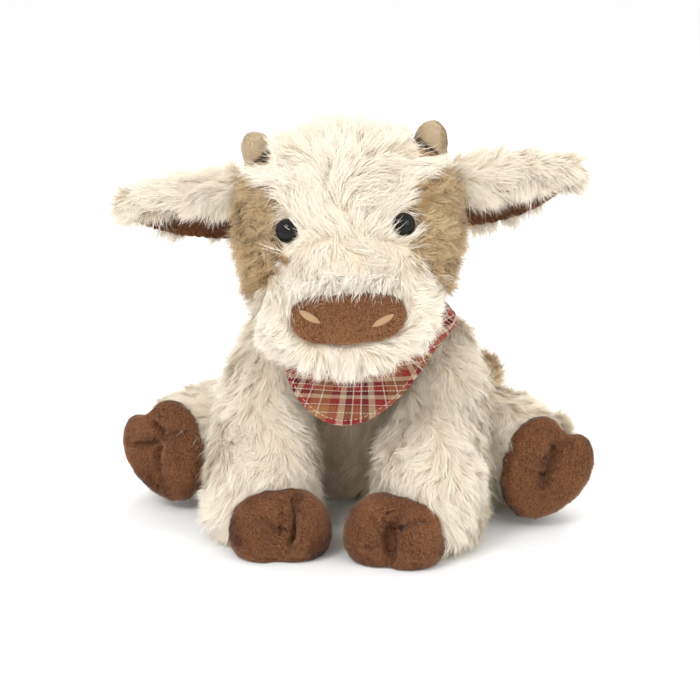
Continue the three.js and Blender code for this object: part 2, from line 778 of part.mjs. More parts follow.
function buildHead() {
  let shell = toSolid(headOuter).subtract(toSolid(headForm(CAVITY_SIDES, FUR_WALL)));
  let fill = toSolid(headForm(CAVITY_SIDES, FUR_WALL + SEAM_GAP));
  const pieces = [];
  for (const [side, name] of [[1, 'left'], [-1, 'right']]) {
    const seat = eyeSeat(side);
    shell = shell.subtract(movedSolid(eyeRoom(), seat)).subtract(movedSolid(washerRoom(), seat));
    fill = fill.subtract(movedSolid(eyeRoom(), seat)).subtract(movedSolid(washerRoom(), seat));
    pieces.push(
      mesh(`eye_${name}`, movedSolid(toSolid(turned(eyeProfile(), EYE_SIDES)), seat), BLACK, 0.06),
      mesh(`eye_washer_${name}`, movedSolid(toSolid(washer()), seat), WASHER_WHITE, 0.5),
      mesh(`nostril_${name}`, nostril(side, name), THREAD, 0.7),
      mesh(`horn_${name}`, toSolid(hornForm(side, name, 0)).subtract(headClearance), HORN_TAN),
    );
  }
  for (const [side, name] of [[1, 'left'], [-1, 'right']]) {
    const [panel, room] = [SEAM_GAP, 0].map((inset) => {
      const form = toSolid(patchForm(inset));
      return side > 0 ? form : mirrored(form);
    });
    pieces.push(mesh(`head_patch_${name}`, largest(shell.intersect(panel)), TAN));
    shell = shell.subtract(room);
  }
  pieces.push(mesh('nose_panel', largest(shell.intersect(toSolid(noseForm(0)))), BROWN));
  const skin = clearOf(shell.subtract(toSolid(noseForm(SEAM_GAP))), headFixed, xAxis, NECK_RANGE);
  return [
    mesh('head_skin', largest(skin), CREAM),
    mesh('head_fill', largest(clearOf(fill, headFixed, xAxis, NECK_RANGE)), FIBRE),
    ...pieces,
  ];
}

// Ears

// One surface of an ear, as for the left: under this much of the fur, and this much further in
function earSurface(name, fur, further) {
  return earShares.map(([place, size]) => {
    const rise = earRises[name] * place ** EAR_RISE_POWER;
    return Array.from({ length: EAR_ARC_STEPS + 1 }, (_, s) => {
      const turn = radians(EAR_FRONT_EDGE + ((EAR_REAR_EDGE - EAR_FRONT_EDGE) * s) / EAR_ARC_STEPS);
      const rim = Math.min(1, EAR_RIM_SHARE + Math.sin((Math.PI * s) / EAR_ARC_STEPS));
      const depth = fur * rim * size + further;
      return new THREE.Vector3(
        place * (EAR_BURIED + EAR_REACH) - EAR_BURIED,
        -(EAR_HALF_DEPTH * size - depth) * Math.cos(turn),
        rise + (EAR_HALF_HEIGHT * size - depth) * Math.sin(turn),
      );
    });
  });
}

function buildEar(side, name) {
  const group = new THREE.Group();
  group.position.set(side * EAR_OUT, napeBehind() - EAR_FROM_NAPE, HEAD_LIFT + EAR_UP);
  const here = new THREE.Matrix4().setPosition(group.position.clone().negate());
  const horn = toSolid(hornForm(side, name, SWEEP_GAP));
  const rooms = [headClearance, horn].map((solid) => movedSolid(solid, here));
  const swing = new THREE.Vector3(0, side, 0);
  const [outer, seam] = [0, EAR_FUR].map((fur) => earSurface(name, fur, 0));
  const [face, inside] = [SEAM_GAP, SEAM_GAP + EAR_LINING]
    .map((further) => earSurface(name, EAR_FUR, further));
  const fur = toSolid(thickSheet(outer, seam, false));
  const lining = toSolid(thickSheet(face, inside, false));
  for (const [layer, piece, color] of [['fur', fur, CREAM], ['lining', lining, BROWN]]) {
    const own = side > 0 ? piece : mirrored(piece);
    group.add(mesh(`ear_${layer}_${name}`, largest(clearOf(own, rooms, swing, EAR_RANGE)), color));
  }
  return group;
}

// Hooves

// A cloven hoof: the sole at height 0, the toes towards -Y.
function hoofForm(halfWidth, halfLength, height) {
  return loft(hoofRingShares.map(([level, width, length, cleft]) => (
    Array.from({ length: HOOF_SIDES }, (_, s) => {
      const even = (2 * Math.PI * s) / HOOF_SIDES - Math.PI;
      const turn = even - HOOF_CROWDING * Math.sin(even);
      const notch = Math.exp(-((turn / radians(CLEFT_HALF_ANGLE)) ** 2));
      const reach = 1 - cleft * notch;
      return new THREE.Vector3(
        halfWidth * width * reach * Math.sin(turn) * (1 - HOOF_HEEL_TAPER * (1 - Math.cos(turn)) / 2),
        -halfLength * length * reach * Math.cos(turn),
        level * height,
      );
    })
  )));
}

// Forelegs

function forelegForm(inset) {
  const path = [
    [-FORELEG_BURIED, FORELEG_BURIED, FORELEG_BURIED * SHOULDER_RISE_SHARE],
    [0, 0, SHOULDER_CROWN],
    [FORELEG_SPREAD, -FORELEG_KNEE_AHEAD, -SHOULDER_HEIGHT * KNEE_DROP_SHARE],
    [FORELEG_SPREAD / 2, -FORELEG_FOOT_AHEAD, -SHOULDER_HEIGHT * FETLOCK_DROP_SHARE],
    [FORELEG_FOOT_OUT, -FORELEG_FOOT_AHEAD, -SHOULDER_HEIGHT - FLAT_DEPTH],
  ].map((place) => new THREE.Vector3(...place));
  return stuffedLimb(path, FORELEG_GIRTH, forelegShares, xAxis, inset);
}

function buildForeleg(side, name) {
  const group = new THREE.Group();
  group.position.set(side * SHOULDER_OUT, 0, SHOULDER_HEIGHT);
  const here = new THREE.Matrix4().makeTranslation(-side * SHOULDER_OUT, 0, -SHOULDER_HEIGHT);
  const [torso, ...rooms] = [torsoClearance, ...[0, FUR_WALL, FUR_WALL + 3 * SWEEP_GAP].map(scarfRoom)]
    .map((solid) => movedSolid(solid, here));
  const swing = xAxis.clone().negate();
  const sided = (geometry) => (side > 0 ? toSolid(geometry) : mirrored(toSolid(geometry)));
  const ground = underground(SHOULDER_HEIGHT);
  const hoof = sided(
    hoofForm(HOOF_HALF_WIDTH, HOOF_HALF_LENGTH, HOOF_HEIGHT)
      .rotateZ(radians(-FORE_HOOF_TURN))
      .translate(-FORE_HOOF_INWARD, -FORELEG_FOOT_AHEAD - FORE_HOOF_AHEAD, -SHOULDER_HEIGHT - FLAT_DEPTH),
  );
  const outer = clearOf(sided(forelegForm(0)).subtract(ground), [torso, rooms[0]], swing, FORELEG_RANGE);
  const hollow = clearOf(sided(forelegForm(FUR_WALL)), [rooms[1]], swing, FORELEG_RANGE);
  const stuffing = clearOf(sided(forelegForm(FUR_WALL + SEAM_GAP)), [torso, rooms[2]], swing, FORELEG_RANGE);
  group.add(
    mesh(`foreleg_skin_${name}`, largest(outer.subtract(hollow)), CREAM),
    mesh(`foreleg_fill_${name}`, largest(stuffing), FIBRE),
    mesh(`fore_hoof_${name}`, largest(hoof.subtract(sided(forelegForm(-SEAM_GAP))).subtract(ground)), BROWN),
  );
  return group;
}

// Hind legs

function hindlegForm(inset) {
  const ankle = new THREE.Vector3(HINDLEG_REACH_OUT, -HINDLEG_REACH_AHEAD, ANKLE_HEIGHT - HIP_HEIGHT);
  const knee = ankle.clone().multiplyScalar(0.5).add(new THREE.Vector3(HINDLEG_BEND, HINDLEG_BEND, 0));
  const path = [new THREE.Vector3(-HINDLEG_BURIED, HINDLEG_BURIED / 2, 0), new THREE.Vector3(), knee, ankle];
  return stuffedLimb(path, HINDLEG_GIRTH, hindlegShares, zAxis, inset);
}

function buildHindleg(side, name) {
  const group = new THREE.Group();
  group.position.set(side * HIP_OUT, HIP_BACK, HIP_HEIGHT);
  const here = new THREE.Matrix4().makeTranslation(-side * HIP_OUT, -HIP_BACK, -HIP_HEIGHT);
  const foreleg = toSolid(forelegForm(-SWEEP_GAP));
  const footed = new THREE.Matrix4().makeTranslation(
    side * (SHOULDER_OUT - HIP_OUT), -HIP_BACK, SHOULDER_HEIGHT - HIP_HEIGHT,
  );
  const obstacles = [
    movedSolid(torsoClearance, here),
    movedSolid(side > 0 ? foreleg : mirrored(foreleg), footed),
  ];
  const swing = new THREE.Vector3(0, 0, side);
  const sided = (geometry) => (side > 0 ? toSolid(geometry) : mirrored(toSolid(geometry)));
  const ground = underground(HIP_HEIGHT);
  const hoof = sided(
    hoofForm(HIND_HOOF_HALF_WIDTH, HIND_HOOF_HALF_LENGTH, HIND_HOOF_THICKNESS)
      .rotateZ(radians(HIND_HOOF_SPLAY))
      .rotateX(-Math.PI / 2)
      .rotateX(radians(-HIND_HOOF_TIP))
      .rotateZ(radians(HIND_HOOF_TURN))
      .translate(HINDLEG_REACH_OUT, -HINDLEG_REACH_AHEAD - HIND_HOOF_SET_BACK, ANKLE_HEIGHT - HIP_HEIGHT),
  );
  const skin = sided(hindlegForm(0)).subtract(sided(hindlegForm(FUR_WALL))).subtract(ground);
  const fill = sided(hindlegForm(FUR_WALL + SEAM_GAP));
  group.add(
    mesh(`hindleg_skin_${name}`, largest(clearOf(skin, obstacles, swing, HINDLEG_RANGE)), CREAM),
    mesh(`hindleg_fill_${name}`, largest(clearOf(fill, obstacles, swing, HINDLEG_RANGE)), FIBRE),
    mesh(`hind_hoof_${name}`, largest(hoof.subtract(sided(hindlegForm(-SEAM_GAP))).subtract(ground)), BROWN),
  );
  return group;
}

// Tail

function buildTail() {
  const { middle, halfDepth } = torsoSection(TAIL_HEIGHT);
  const group = new THREE.Group();
  group.position.set(TAIL_LEFT, middle + halfDepth, TAIL_HEIGHT);
  const places = tailPathShares.map((place) => (
    new THREE.Vector3(...place.map((share) => share * TAIL_REACH))
  ));
  places[0].y -= TAIL_BURIED;
  const curve = new THREE.CatmullRomCurve3(places);
  const stretch = (from, to) => Array.from({ length: TAIL_STEPS + 1 }, (_, i) => (
    curve.getPointAt(from + ((to - from) * i) / TAIL_STEPS)
  ));
  const tuftStart = TAIL_BARE_SHARE + SWEEP_GAP / curve.getLength();
  const room = movedSolid(torsoClearance, new THREE.Matrix4().setPosition(group.position.clone().negate()));
  const bare = toSolid(limb(stretch(0, TAIL_BARE_SHARE), TAIL_RADIUS, tailShares, TAIL_SIDES, zAxis, 0));
  const tuft = toSolid(limb(stretch(tuftStart, 1), TUFT_RADIUS, tuftShares, TAIL_SIDES, zAxis, 0));
  group.add(
    mesh('tail', largest(clearOf(bare, [room], zAxis, TAIL_RANGE)), TAN),
    mesh('tail_tuft', largest(clearOf(tuft, [room], zAxis, TAIL_RANGE)), TAN),
  );
  return group;
}

// The whole toy, set so that its box stands centred on the origin

const cow = new THREE.Group();
cow.add(...buildTorso(), ...buildScarf(), headGroup, buildTail());
headGroup.add(...buildHead());
for (const [side, name] of [[1, 'left'], [-1, 'right']]) {
  headGroup.add(buildEar(side, name));
  cow.add(buildForeleg(side, name), buildHindleg(side, name));
}
cow.updateMatrixWorld(true);
const bounds = new THREE.Box3().setFromObject(cow, true);
const middle = bounds.getCenter(new THREE.Vector3());
cow.position.set(-middle.x, -middle.y, -bounds.min.z);
cow.updateMatrixWorld(true);

export default cow;
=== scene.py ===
# A sitting plush calf: long wavy fur, velvety cloven hooves, button eyes and a checked neckerchief.
# Metres, in the part's own frame: the calf faces -Y, its left is +X, and +Z is up.
import math
from dataclasses import dataclass

import bmesh
import bpy
import numpy as np
from mathutils import Matrix, Vector
from mathutils.bvhtree import BVHTree
from mathutils.kdtree import KDTree


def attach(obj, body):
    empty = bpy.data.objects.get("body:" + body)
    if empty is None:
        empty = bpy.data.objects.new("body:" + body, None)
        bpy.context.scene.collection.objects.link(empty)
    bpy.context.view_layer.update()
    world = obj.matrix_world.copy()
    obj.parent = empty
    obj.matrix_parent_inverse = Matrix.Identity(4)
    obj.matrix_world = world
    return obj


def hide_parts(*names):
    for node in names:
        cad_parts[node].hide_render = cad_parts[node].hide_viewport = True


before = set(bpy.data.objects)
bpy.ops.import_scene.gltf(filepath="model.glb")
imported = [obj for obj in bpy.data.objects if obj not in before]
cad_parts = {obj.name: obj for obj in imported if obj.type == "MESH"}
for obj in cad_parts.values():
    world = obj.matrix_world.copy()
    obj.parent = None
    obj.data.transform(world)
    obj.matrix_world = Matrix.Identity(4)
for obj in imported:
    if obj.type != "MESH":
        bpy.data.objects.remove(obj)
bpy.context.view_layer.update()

MM = 0.001
SIDES = {"left": 1, "right": -1}

# Camera, at the photograph's viewing angle
CAMERA_DISTANCE = 1.28
CAMERA_AZIMUTH = 8
CAMERA_ELEVATION = 16
CAMERA_TARGET = (-0.0054, 0.0024, 0.107)
CAMERA_LENS = 99.5
SENSOR_WIDTH = 36
LINE_OF_SIGHT = Vector((-0.134, 0.952, -0.276)).normalized()

# Floor and light, with the name, place, size and power of each lamp
FLOOR_REACH = 12
WORLD_STRENGTH = 1.04
LAMP_AIM = Vector((0, 0, 0.12))
LAMPS = (
    ("key", (-0.7, -1.3, 1.5), 0.9, 16),
    ("fill", (1.3, -0.9, 0.9), 1.0, 6),
    ("back", (0.2, 1.2, 1.3), 0.8, 10),
)

# Hides, set in from the solids, which are drawn half way up the pile
HIDE_INSET = 4.2 * MM
RELAXING = 3
BURY_DEPTH = 7 * MM
HOOF_COVER = 40 * MM

# How each form is smoothed: its voxel, the rounds, and how far it is set in
HIDE_FINISH = (3 * MM, 12, HIDE_INSET)
HOOF_FINISH = (0.9 * MM, 5, 0.9 * MM)
KNOT_FINISH = (0.8 * MM, 3, 0)
LEAF_FINISH = (1.1 * MM, 6, 0.8 * MM)
LINING_FINISH = (0.7 * MM, 4, 0)
NOSE_FINISH = (0.9 * MM, 6, 0.8 * MM)
HORN_FINISH = (0.8 * MM, 8, 0.5 * MM)
TAIL_FINISH = (1.2 * MM, 6, 1.2 * MM)
TUFT_FINISH = (1.2 * MM, 6, 3 * MM)

# Strands, each a tapering ribbon: how far up it each ring is, and its girth there
LONG_STRAND = ((0, 0.8), (0.35, 1), (0.7, 0.7), (1, 0))
CURLY_STRAND = ((0, 0.8), (0.2, 1), (0.4, 1), (0.6, 0.85), (0.8, 0.6), (1, 0))
SHORT_STRAND = ((0, 1), (0.55, 0.8), (1, 0))
SOFTNESS = 0.7
RIBBON_TWIST = 0.35
TOP_FLATTENING = 0.75
SIDE_PARTING = 8 * MM
TONE_WIDTH = 0.01
GROUND_CLEARANCE = 0.4 * MM
MOST_TRIANGLES = 190000
SEED_STEP = 1000
SPLIT_DIRECTION = np.array([0.1, 0.2, 1.0])

# How much locks and strands vary, as shares of their coat's own values, and in degrees for the rise
LOCK_LENGTHS = (0.75, 1.15)
LOCK_CYCLES = (0.7, 1.3)
LOCK_WAVES = (0.5, 1.4)
LOCK_RISE = 9
STRAND_LENGTHS = (0.75, 1.12)
STRAND_WIDTHS = (0.7, 1.2)
STRAY_SHARE = 0.15
WAVE_GROWTH = 0.8
CLUMP_GROWTH = 1.2

# Locks that lie near each other turn the same way, in waves of about this length
FLOW_LENGTH = 42 * MM
FLOW_WAVES = 5
FLOW_SPREAD = (0.5, 1.5)
FLOW_SEED = 7

# The ray that tests whether a place lies inside a mesh
PROBE_DIRECTION = Vector((0.31, 0.17, 0.93)).normalized()
PROBE_STEP = 0.01 * MM

# The stuffed forms and the nodes that each stands for
STUFFED = {
    "torso": ["torso_skin", "torso_fill", "pellet_pouch"],
    "head": ["head_skin", "head_fill", "head_patch_left", "head_patch_right"],
    "foreleg_left": ["foreleg_skin_left", "foreleg_fill_left"],
    "foreleg_right": ["foreleg_skin_right", "foreleg_fill_right"],
    "hindleg_left": ["hindleg_skin_left", "hindleg_fill_left"],
    "hindleg_right": ["hindleg_skin_right", "hindleg_fill_right"],
}

# The head as it is set in the part's source, and how its fur differs over it
HEAD_PIVOT = (-1.5 * MM, -11.1 * MM, 164 * MM)
HEAD_TURN = 6
HEAD_ROLL = 3.5
NOSE_LEVEL = 12 * MM
NOSE_MARGIN = 2 * MM
MUZZLE_DROP = 20 * MM
MUZZLE_HALF = 45 * MM
CROWN_FACING = 0.42
CROWN_BLEND = 0.12
CROWN_SEED = 21
CROWN_FRONT = -70 * MM
CROWN_HALF = 70 * MM
FACE_WHITE_FROM = -30 * MM
FACE_WHITE_REACH = 40 * MM
FACE_WHITENESS = 0.15
CHEEK_SIDE = 36 * MM
CHEEK_FACING = 0.4
FRINGE_REACH = 7 * MM
FRINGE_WHITENESS = 0.6

# Body fur: the chest, longer under the neckerchief and coloured darker and browner as painted shade, and
# where the forelegs' fur parts
CHEST_FACING = -0.4
CHEST_HALF = 34 * MM
CHEST_LOW = 12 * MM
CHEST_HIGH = 102 * MM
TORSO_MIDDLE = np.array([0, 30 * MM])
FORELEG_MIDDLE = 50 * MM
FORELEG_HALF = 30 * MM

# Ears
LINING_REACH = 4 * MM
LINING_SHOWN = 23 * MM
LINING_END = 36 * MM
EDGE_STEP = 3 * MM

# Button eyes
EYE_RADIUS = 7.5 * MM
EYE_DOME = 5.5 * MM
EYE_FLANGE = 1.2 * MM
FLANGE_RADIUS = 0.9 * EYE_RADIUS
EYE_SHANK = 15 * MM
SHANK_RADIUS = 2 * MM
EYE_ARC_STEPS = 14
EYE_SIDES = 48
EYE_CLEAR = 6.8 * MM

# Strands that would hide a feature: how many are trimmed, how often, and to what share of their length
CLEARED_SHARE = 0.985
TRIMS = 2
TRIMMED = 0.5
PULLED_SIDE = 35 * MM

# Nostrils, sewn as two slanting leaves
NOSTRIL_LENGTH = 15 * MM
NOSTRIL_WIDTH = 4.6 * MM
NOSTRIL_RISE = 0.9 * MM
NOSTRIL_SLANT = 29
NOSTRIL_LIFT = 2 * MM
NOSTRIL_ROOM = 0.5 * MM
NOSTRIL_ENDS = 0.94
NOSTRIL_TAPER = 0.7
NOSTRIL_RINGS = 17
NOSTRIL_SIDES = 16

# Horns
HORN_FRINGE = 13 * MM
HORN_SLICES = 8
HORN_SLICE = 3 * MM
HORN_ROOM = 1.5 * MM
HORN_FOOT = 0.35
HORN_SINKING = 9 * MM
SINKING_POWER = 0.7
HORN_TAN = 19 * MM
HORN_TAN_TOP = 15 * MM
HORN_TAN_FACING = 0.15

# Torso and neckerchief in millimetres, as in the part's source
FRAME_BACK = 2.88
FLAT_DEPTH = 0.5
TORSO_HEIGHT = 164
TORSO_HALF_WIDTH = 74
TORSO_HALF_DEPTH = 58
SEAT_BACK = 60
NECK_FORWARD = 14
SCARF_TOP = 145
SCARF_FRONT_DROP = 16
SCARF_REAR_RISE = 3
SCARF_BAND = 12
SCARF_BIB = 52
SCARF_BIB_LIFT = 46
SCARF_NECK_LIFT = 3
SCARF_CLOTH = 1.4
SCARF_FOLD = 1.5
SCARF_FOLDS = 5
SCARF_TURN = 3
SCARF_BIB_POWER = 10
SCARF_ROUND = 58
# Where the cloth is pulled out over the left shoulder, and the tip's lean to the right
SCARF_PULL_TURN = 1.05
SCARF_PULL_REACH = 0.5
SCARF_PULL_OUT = 13
SCARF_PULL_UP = 6
SCARF_TIP_LEAN = 7
# Height, half width, half depth, and how much of the lean is left at that height
torso_ring_shares = np.array([
    (0, 0.66, 0.66, 1),
    (0.03, 0.8, 0.8, 1),
    (0.1, 0.94, 0.94, 0.99),
    (0.24, 1, 1, 0.94),
    (0.4, 0.985, 1, 0.82),
    (0.56, 0.91, 0.95, 0.62),
    (0.7, 0.8, 0.86, 0.4),
    (0.82, 0.68, 0.75, 0.2),
    (0.91, 0.57, 0.64, 0.08),
    (0.97, 0.48, 0.54, 0.02),
    (1, 0.34, 0.38, 0),
])

# Neckerchief as it is sewn
CLOTH_THICKNESS = 0.8 * MM
CLOTH_STEPS = 360
CLOTH_ROWS = 44
CLOTH_MARGIN = 20 * MM
CLOTH_CLEARANCE = 0.7 * MM
CLOTH_SLIDE = 0.35
OVER_CLOTH = 16 * MM
BEFORE_CLOTH = 60 * MM
WRINKLE = 1.5 * MM
SAG_FOLDS = 2.2
SAG_DROP = 1.6
SAG_START = 0.5
SAG_SHARE = 0.6
SLANT_WAVE = (9, 5, 0.6)
HEM_WIDTH = 5 * MM
HEM_THICKENING = 0.5 * MM
STITCH_INSET = 3 * MM
STITCH_LENGTH = 2.1 * MM
STITCH_GAP = 0.9 * MM
STITCH_RADIUS = 0.22 * MM
STITCH_SIDES = 6
STITCH_RINGS = (0.15, 0.5, 0.85)
STITCH_STEPS = 2400
STITCH_MIDDLE = Vector((0, FRAME_BACK * MM, 110 * MM))
WEAVE_PITCH = 1.1 * MM
WEAVE_CONTRAST = 0.9
WEAVE_LEAST = 0.12

# The check, as widths in millimetres and colours along one repeat
RED = (0.30, 0.035, 0.03)
MAROON = (0.12, 0.012, 0.018)
RUST = (0.38, 0.17, 0.07)
CREAM = (0.62, 0.48, 0.33)
PALE = (0.80, 0.70, 0.56)
CHECK = (
    (2.2, MAROON), (0.5, PALE), (2.4, RED), (0.5, PALE), (2.2, MAROON),
    (2.2, CREAM), (3.2, RED), (0.5, PALE), (0.8, RED),
    (3.2, RUST), (0.5, PALE), (3.2, RUST),
    (3.2, RED), (2.2, CREAM),
)

# Creases pressed into each hoof: depth and half width in millimetres, then places across and up
# from the hoof's middle, as the photograph's line of sight shows them
CREASE_REACH = 90 * MM
CREASE_ENDS = 6
CREASE_LEAST = 0.3
CREASE_LIP = 0.22
LIP_PLACE = 2
LIP_WIDTH = 0.9
CREASE_VALLEY = 0.42
VALLEY_WIDTH = 3.2
hoof_creases = {
    "foreleg_right": (
        (8.5, 2.8, ((9, 27), (9, 20), (8, 8), (7, -4), (5, -17), (4, -25), (4, -31))),
        (2.8, 2.0, ((-15, 7), (-9, 1), (-2, -5), (5, -10))),
        (2.6, 2.0, ((-12, -2), (-5, -9), (3, -15))),
        (1.7, 1.3, ((-32, -13), (-20, -18), (-6, -22), (3, -23))),
        (1.5, 1.3, ((8, -22), (18, -22), (30, -17))),
    ),
    "foreleg_left": (
        (6.4, 3.2, ((5, 29), (4, 22), (0, 9), (-4, -3), (-4, -20), (-4, -29))),
        (2.8, 2.2, ((-3, -3), (5, 4), (14, 7), (21, 6))),
        (1.7, 1.2, ((-2, -17), (12, -20), (27, -20), (36, -19))),
        (2.2, 1.6, ((-24, -9), (-18, -13), (-9, -10))),
        (1.6, 2.2, ((-14, 12), (-10, 3), (-6, -6))),
    ),
    "hindleg_right": (
        (3.8, 2.6, ((-1, 7), (5, 10), (15, 14), (25, 16))),
        (5.4, 2.5, ((-2, 6), (-10, 3), (-23, 4), (-30, 7))),
        (4.8, 2.2, ((-1, 8), (-3, 14), (-8, 20), (-12, 23))),
        (2.2, 1.8, ((0, 9), (0, 16), (-1, 23))),
        (3.8, 2.4, ((-1, 5), (-4, -4), (-4, -19))),
    ),
    "hindleg_left": (
        (6.4, 3.8, ((6, 30), (3, 20), (3, 8), (1, -4), (-2, -18))),
        (3.2, 2.8, ((3, 14), (9, 17), (19, 16), (28, 20))),
        (2.2, 2.2, ((-13, 24), (-4, 25), (2, 22))),
        (2.2, 2.4, ((-24, 3), (-12, -2), (-2, -7))),
    ),
}


# Small mesh helpers


def add_object(name, data):
    made = bpy.data.objects.new(name, data)
    bpy.context.scene.collection.objects.link(made)
    return made


def smooth_mesh(name, points, faces):
    mesh = bpy.data.meshes.new(name)
    mesh.from_pydata(points, [], faces)
    mesh.shade_smooth()
    mesh.update()
    return mesh


def circle(sides):
    return [(math.cos(t), math.sin(t)) for t in (2 * math.pi * s / sides for s in range(sides))]


def capped(first, rings, last):
    """Points and faces of a closed form: its first point, rings of as many points each, and its last."""
    sides = len(rings[0])
    points = [first, *(point for ring in rings for point in ring), last]
    end = len(points) - 1
    faces = []
    for s in range(sides):
        n = (s + 1) % sides
        faces += [(0, 1 + n, 1 + s), (end, end - sides + s, end - sides + n)]
        faces += [(a + s, a + n, a + sides + n, a + sides + s) for a in range(1, end - sides, sides)]
    return points, faces


def arrays_of(mesh):
    """Points, outward normals and triangles of a mesh."""

    def read(items, field, kind):
        values = np.empty(len(items) * 3, kind)
        items.foreach_get(field, values)
        return values.reshape(-1, 3)

    mesh.calc_loop_triangles()
    points, normals = (read(mesh.vertices, field, np.float32).astype(float) for field in ("co", "normal"))
    return points, normals, read(mesh.loop_triangles, "vertices", np.int32)


def store(items, field, values, kind=np.float32):
    items.foreach_set(field, values.astype(kind).ravel())


def set_points(mesh, points):
    store(mesh.vertices, "co", points)
    mesh.update()


def tree_of(mesh):
    points, _, triangles = arrays_of(mesh)
    return BVHTree.FromPolygons(points.tolist(), triangles.tolist())


def node_tree(node):
    return tree_of(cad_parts[node].data)


def node_points(node):
    return arrays_of(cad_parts[node].data)[0]


def unit(vectors):
    lengths = np.linalg.norm(vectors, axis=-1, keepdims=True)
    return vectors / np.maximum(lengths, 1e-12)


def tangential(vectors, normals):
    """The part of each vector along the surface, at unit length."""
    return unit(vectors - normals * np.sum(vectors * normals, axis=-1, keepdims=True))


def nearness(tree, places):
    return np.array([tree.find_nearest(Vector(place))[3] for place in places])


def is_inside(tree, place):
    """Whether a place lies inside a closed mesh: a ray from it crosses the surface an odd number of times."""
    crossings, origin = 0, Vector(place)
    while True:
        hit, _, _, _ = tree.ray_cast(origin, PROBE_DIRECTION)
        if hit is None:
            return crossings % 2 == 1
        crossings += 1
        origin = hit + PROBE_DIRECTION * PROBE_STEP


def deeper_than(mesh, tree, places, depth):
    """Which places lie further inside a closed mesh than this depth."""
    points, _, _ = arrays_of(mesh)
    low, high = points.min(axis=0) + depth, points.max(axis=0) - depth
    deep = np.all((places > low) & (places < high), axis=1)
    for i in np.flatnonzero(deep):
        deep[i] = is_inside(tree, places[i]) and tree.find_nearest(Vector(places[i]))[3] > depth
    return deep


def modify(made, kind, **settings):
    modifier = made.modifiers.new(kind, kind)
    for key, value in settings.items():
        setattr(modifier, key, value)


def apply_modifiers(made):
    """Gives an object the mesh that its modifiers make."""
    bpy.context.view_layer.update()
    graph = bpy.context.evaluated_depsgraph_get()
    mesh = bpy.data.meshes.new_from_object(made.evaluated_get(graph))
    made.modifiers.clear()
    made.data = mesh
    mesh.shade_smooth()


def keep_largest_island(mesh):
    made = bmesh.new()
    made.from_mesh(mesh)
    left, islands = set(made.verts), []
    while left:
        stack = [left.pop()]
        island = set(stack)
        while stack:
            linked = {vert for edge in stack.pop().link_edges for vert in edge.verts} & left
            left -= linked
            island |= linked
            stack += linked
        islands.append(island)
    largest = max(islands, key=len)
    bmesh.ops.delete(made, geom=[v for v in made.verts if v not in largest], context="VERTS")
    made.to_mesh(mesh)
    made.free()


def place_piece(made, body, material, slot, *nodes):
    made.data.materials.clear()
    made.data.materials.append(material)
    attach(made, body)
    if nodes:
        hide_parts(*nodes)
    return made


def padded_piece(name, nodes, finish, body, material, slot):
    """One smooth closed piece round these nodes, set in from their surface, that stands for them."""
    joined = bmesh.new()
    for node in nodes:
        joined.from_mesh(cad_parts[node].data)
    made = add_object(name, bpy.data.meshes.new(name))
    joined.to_mesh(made.data)
    joined.free()
    voxel, rounds, inset = finish
    modify(made, "REMESH", mode="VOXEL", voxel_size=voxel)
    modify(made, "SMOOTH", factor=0.5, iterations=rounds)
    modify(made, "DISPLACE", mid_level=0, strength=-inset)
    modify(made, "REMESH", mode="VOXEL", voxel_size=voxel)
    modify(made, "SMOOTH", factor=0.5, iterations=RELAXING)
    apply_modifiers(made)
    keep_largest_island(made.data)
    place_piece(made, body, material, slot, *nodes)
    return made


# Materials


class Nodes:
    """A short way to write a material's nodes."""

    def __init__(self, name):
        self.material = bpy.data.materials.new(name)
        self.material.use_nodes = True
        self.tree = self.material.node_tree
        self.shader = self.tree.nodes["Principled BSDF"]

    def add(self, kind, **settings):
        node = self.tree.nodes.new("ShaderNode" + kind)
        for key, value in settings.items():
            if key in node.inputs:
                node.inputs[key].default_value = value
            else:
                setattr(node, key, value)
        return node

    def feed(self, value, socket):
        """Links a socket's value, or sets a plain one."""
        if isinstance(value, bpy.types.NodeSocket):
            self.tree.links.new(value, socket)
        else:
            socket.default_value = (*value, 1) if isinstance(value, tuple) else value

    def set(self, **values):
        for key, value in values.items():
            self.feed(value, self.shader.inputs[key.replace("_", " ")])

    def ramp(self, factor, stops, interpolation="LINEAR"):
        node = self.add("ValToRGB")
        node.color_ramp.interpolation = interpolation
        elements = node.color_ramp.elements
        while len(elements) < len(stops):
            elements.new(0.5)
        for element, (place, color) in zip(elements, stops):
            element.position = place
            element.color = (*color, 1)
        self.feed(factor, node.inputs["Fac"])
        return node.outputs["Color"]

    def mix(self, factor, a, b, blend="MIX"):
        node = self.add("Mix", data_type="RGBA", blend_type=blend)
        for value, number in ((factor, 0), (a, 6), (b, 7)):
            self.feed(value, node.inputs[number])
        return node.outputs[2]

    def math(self, operation, a, b=0.0):
        node = self.add("Math", operation=operation)
        self.feed(a, node.inputs[0])
        self.feed(b, node.inputs[1])
        return node.outputs[0]

    def texture(self, kind, **settings):
        """A texture that is fixed to the object."""
        node = self.add(kind, **settings)
        self.feed(self.add("TexCoord").outputs["Object"], node.inputs["Vector"])
        return node.outputs["Fac"]

    def noise(self, scale, detail=3.0):
        return self.texture("TexNoise", Scale=scale, Detail=detail, Roughness=0.6)

    def map_axes(self, uv_map):
        axes = self.add("SeparateXYZ")
        self.feed(self.add("UVMap", uv_map=uv_map).outputs["UV"], axes.inputs["Vector"])
        return axes.outputs["X"], axes.outputs["Y"]

    def bump(self, height, distance, strength):
        node = self.add("Bump", Strength=strength, Distance=distance)
        self.feed(height, node.inputs["Height"])
        self.set(Normal=node.outputs["Normal"])


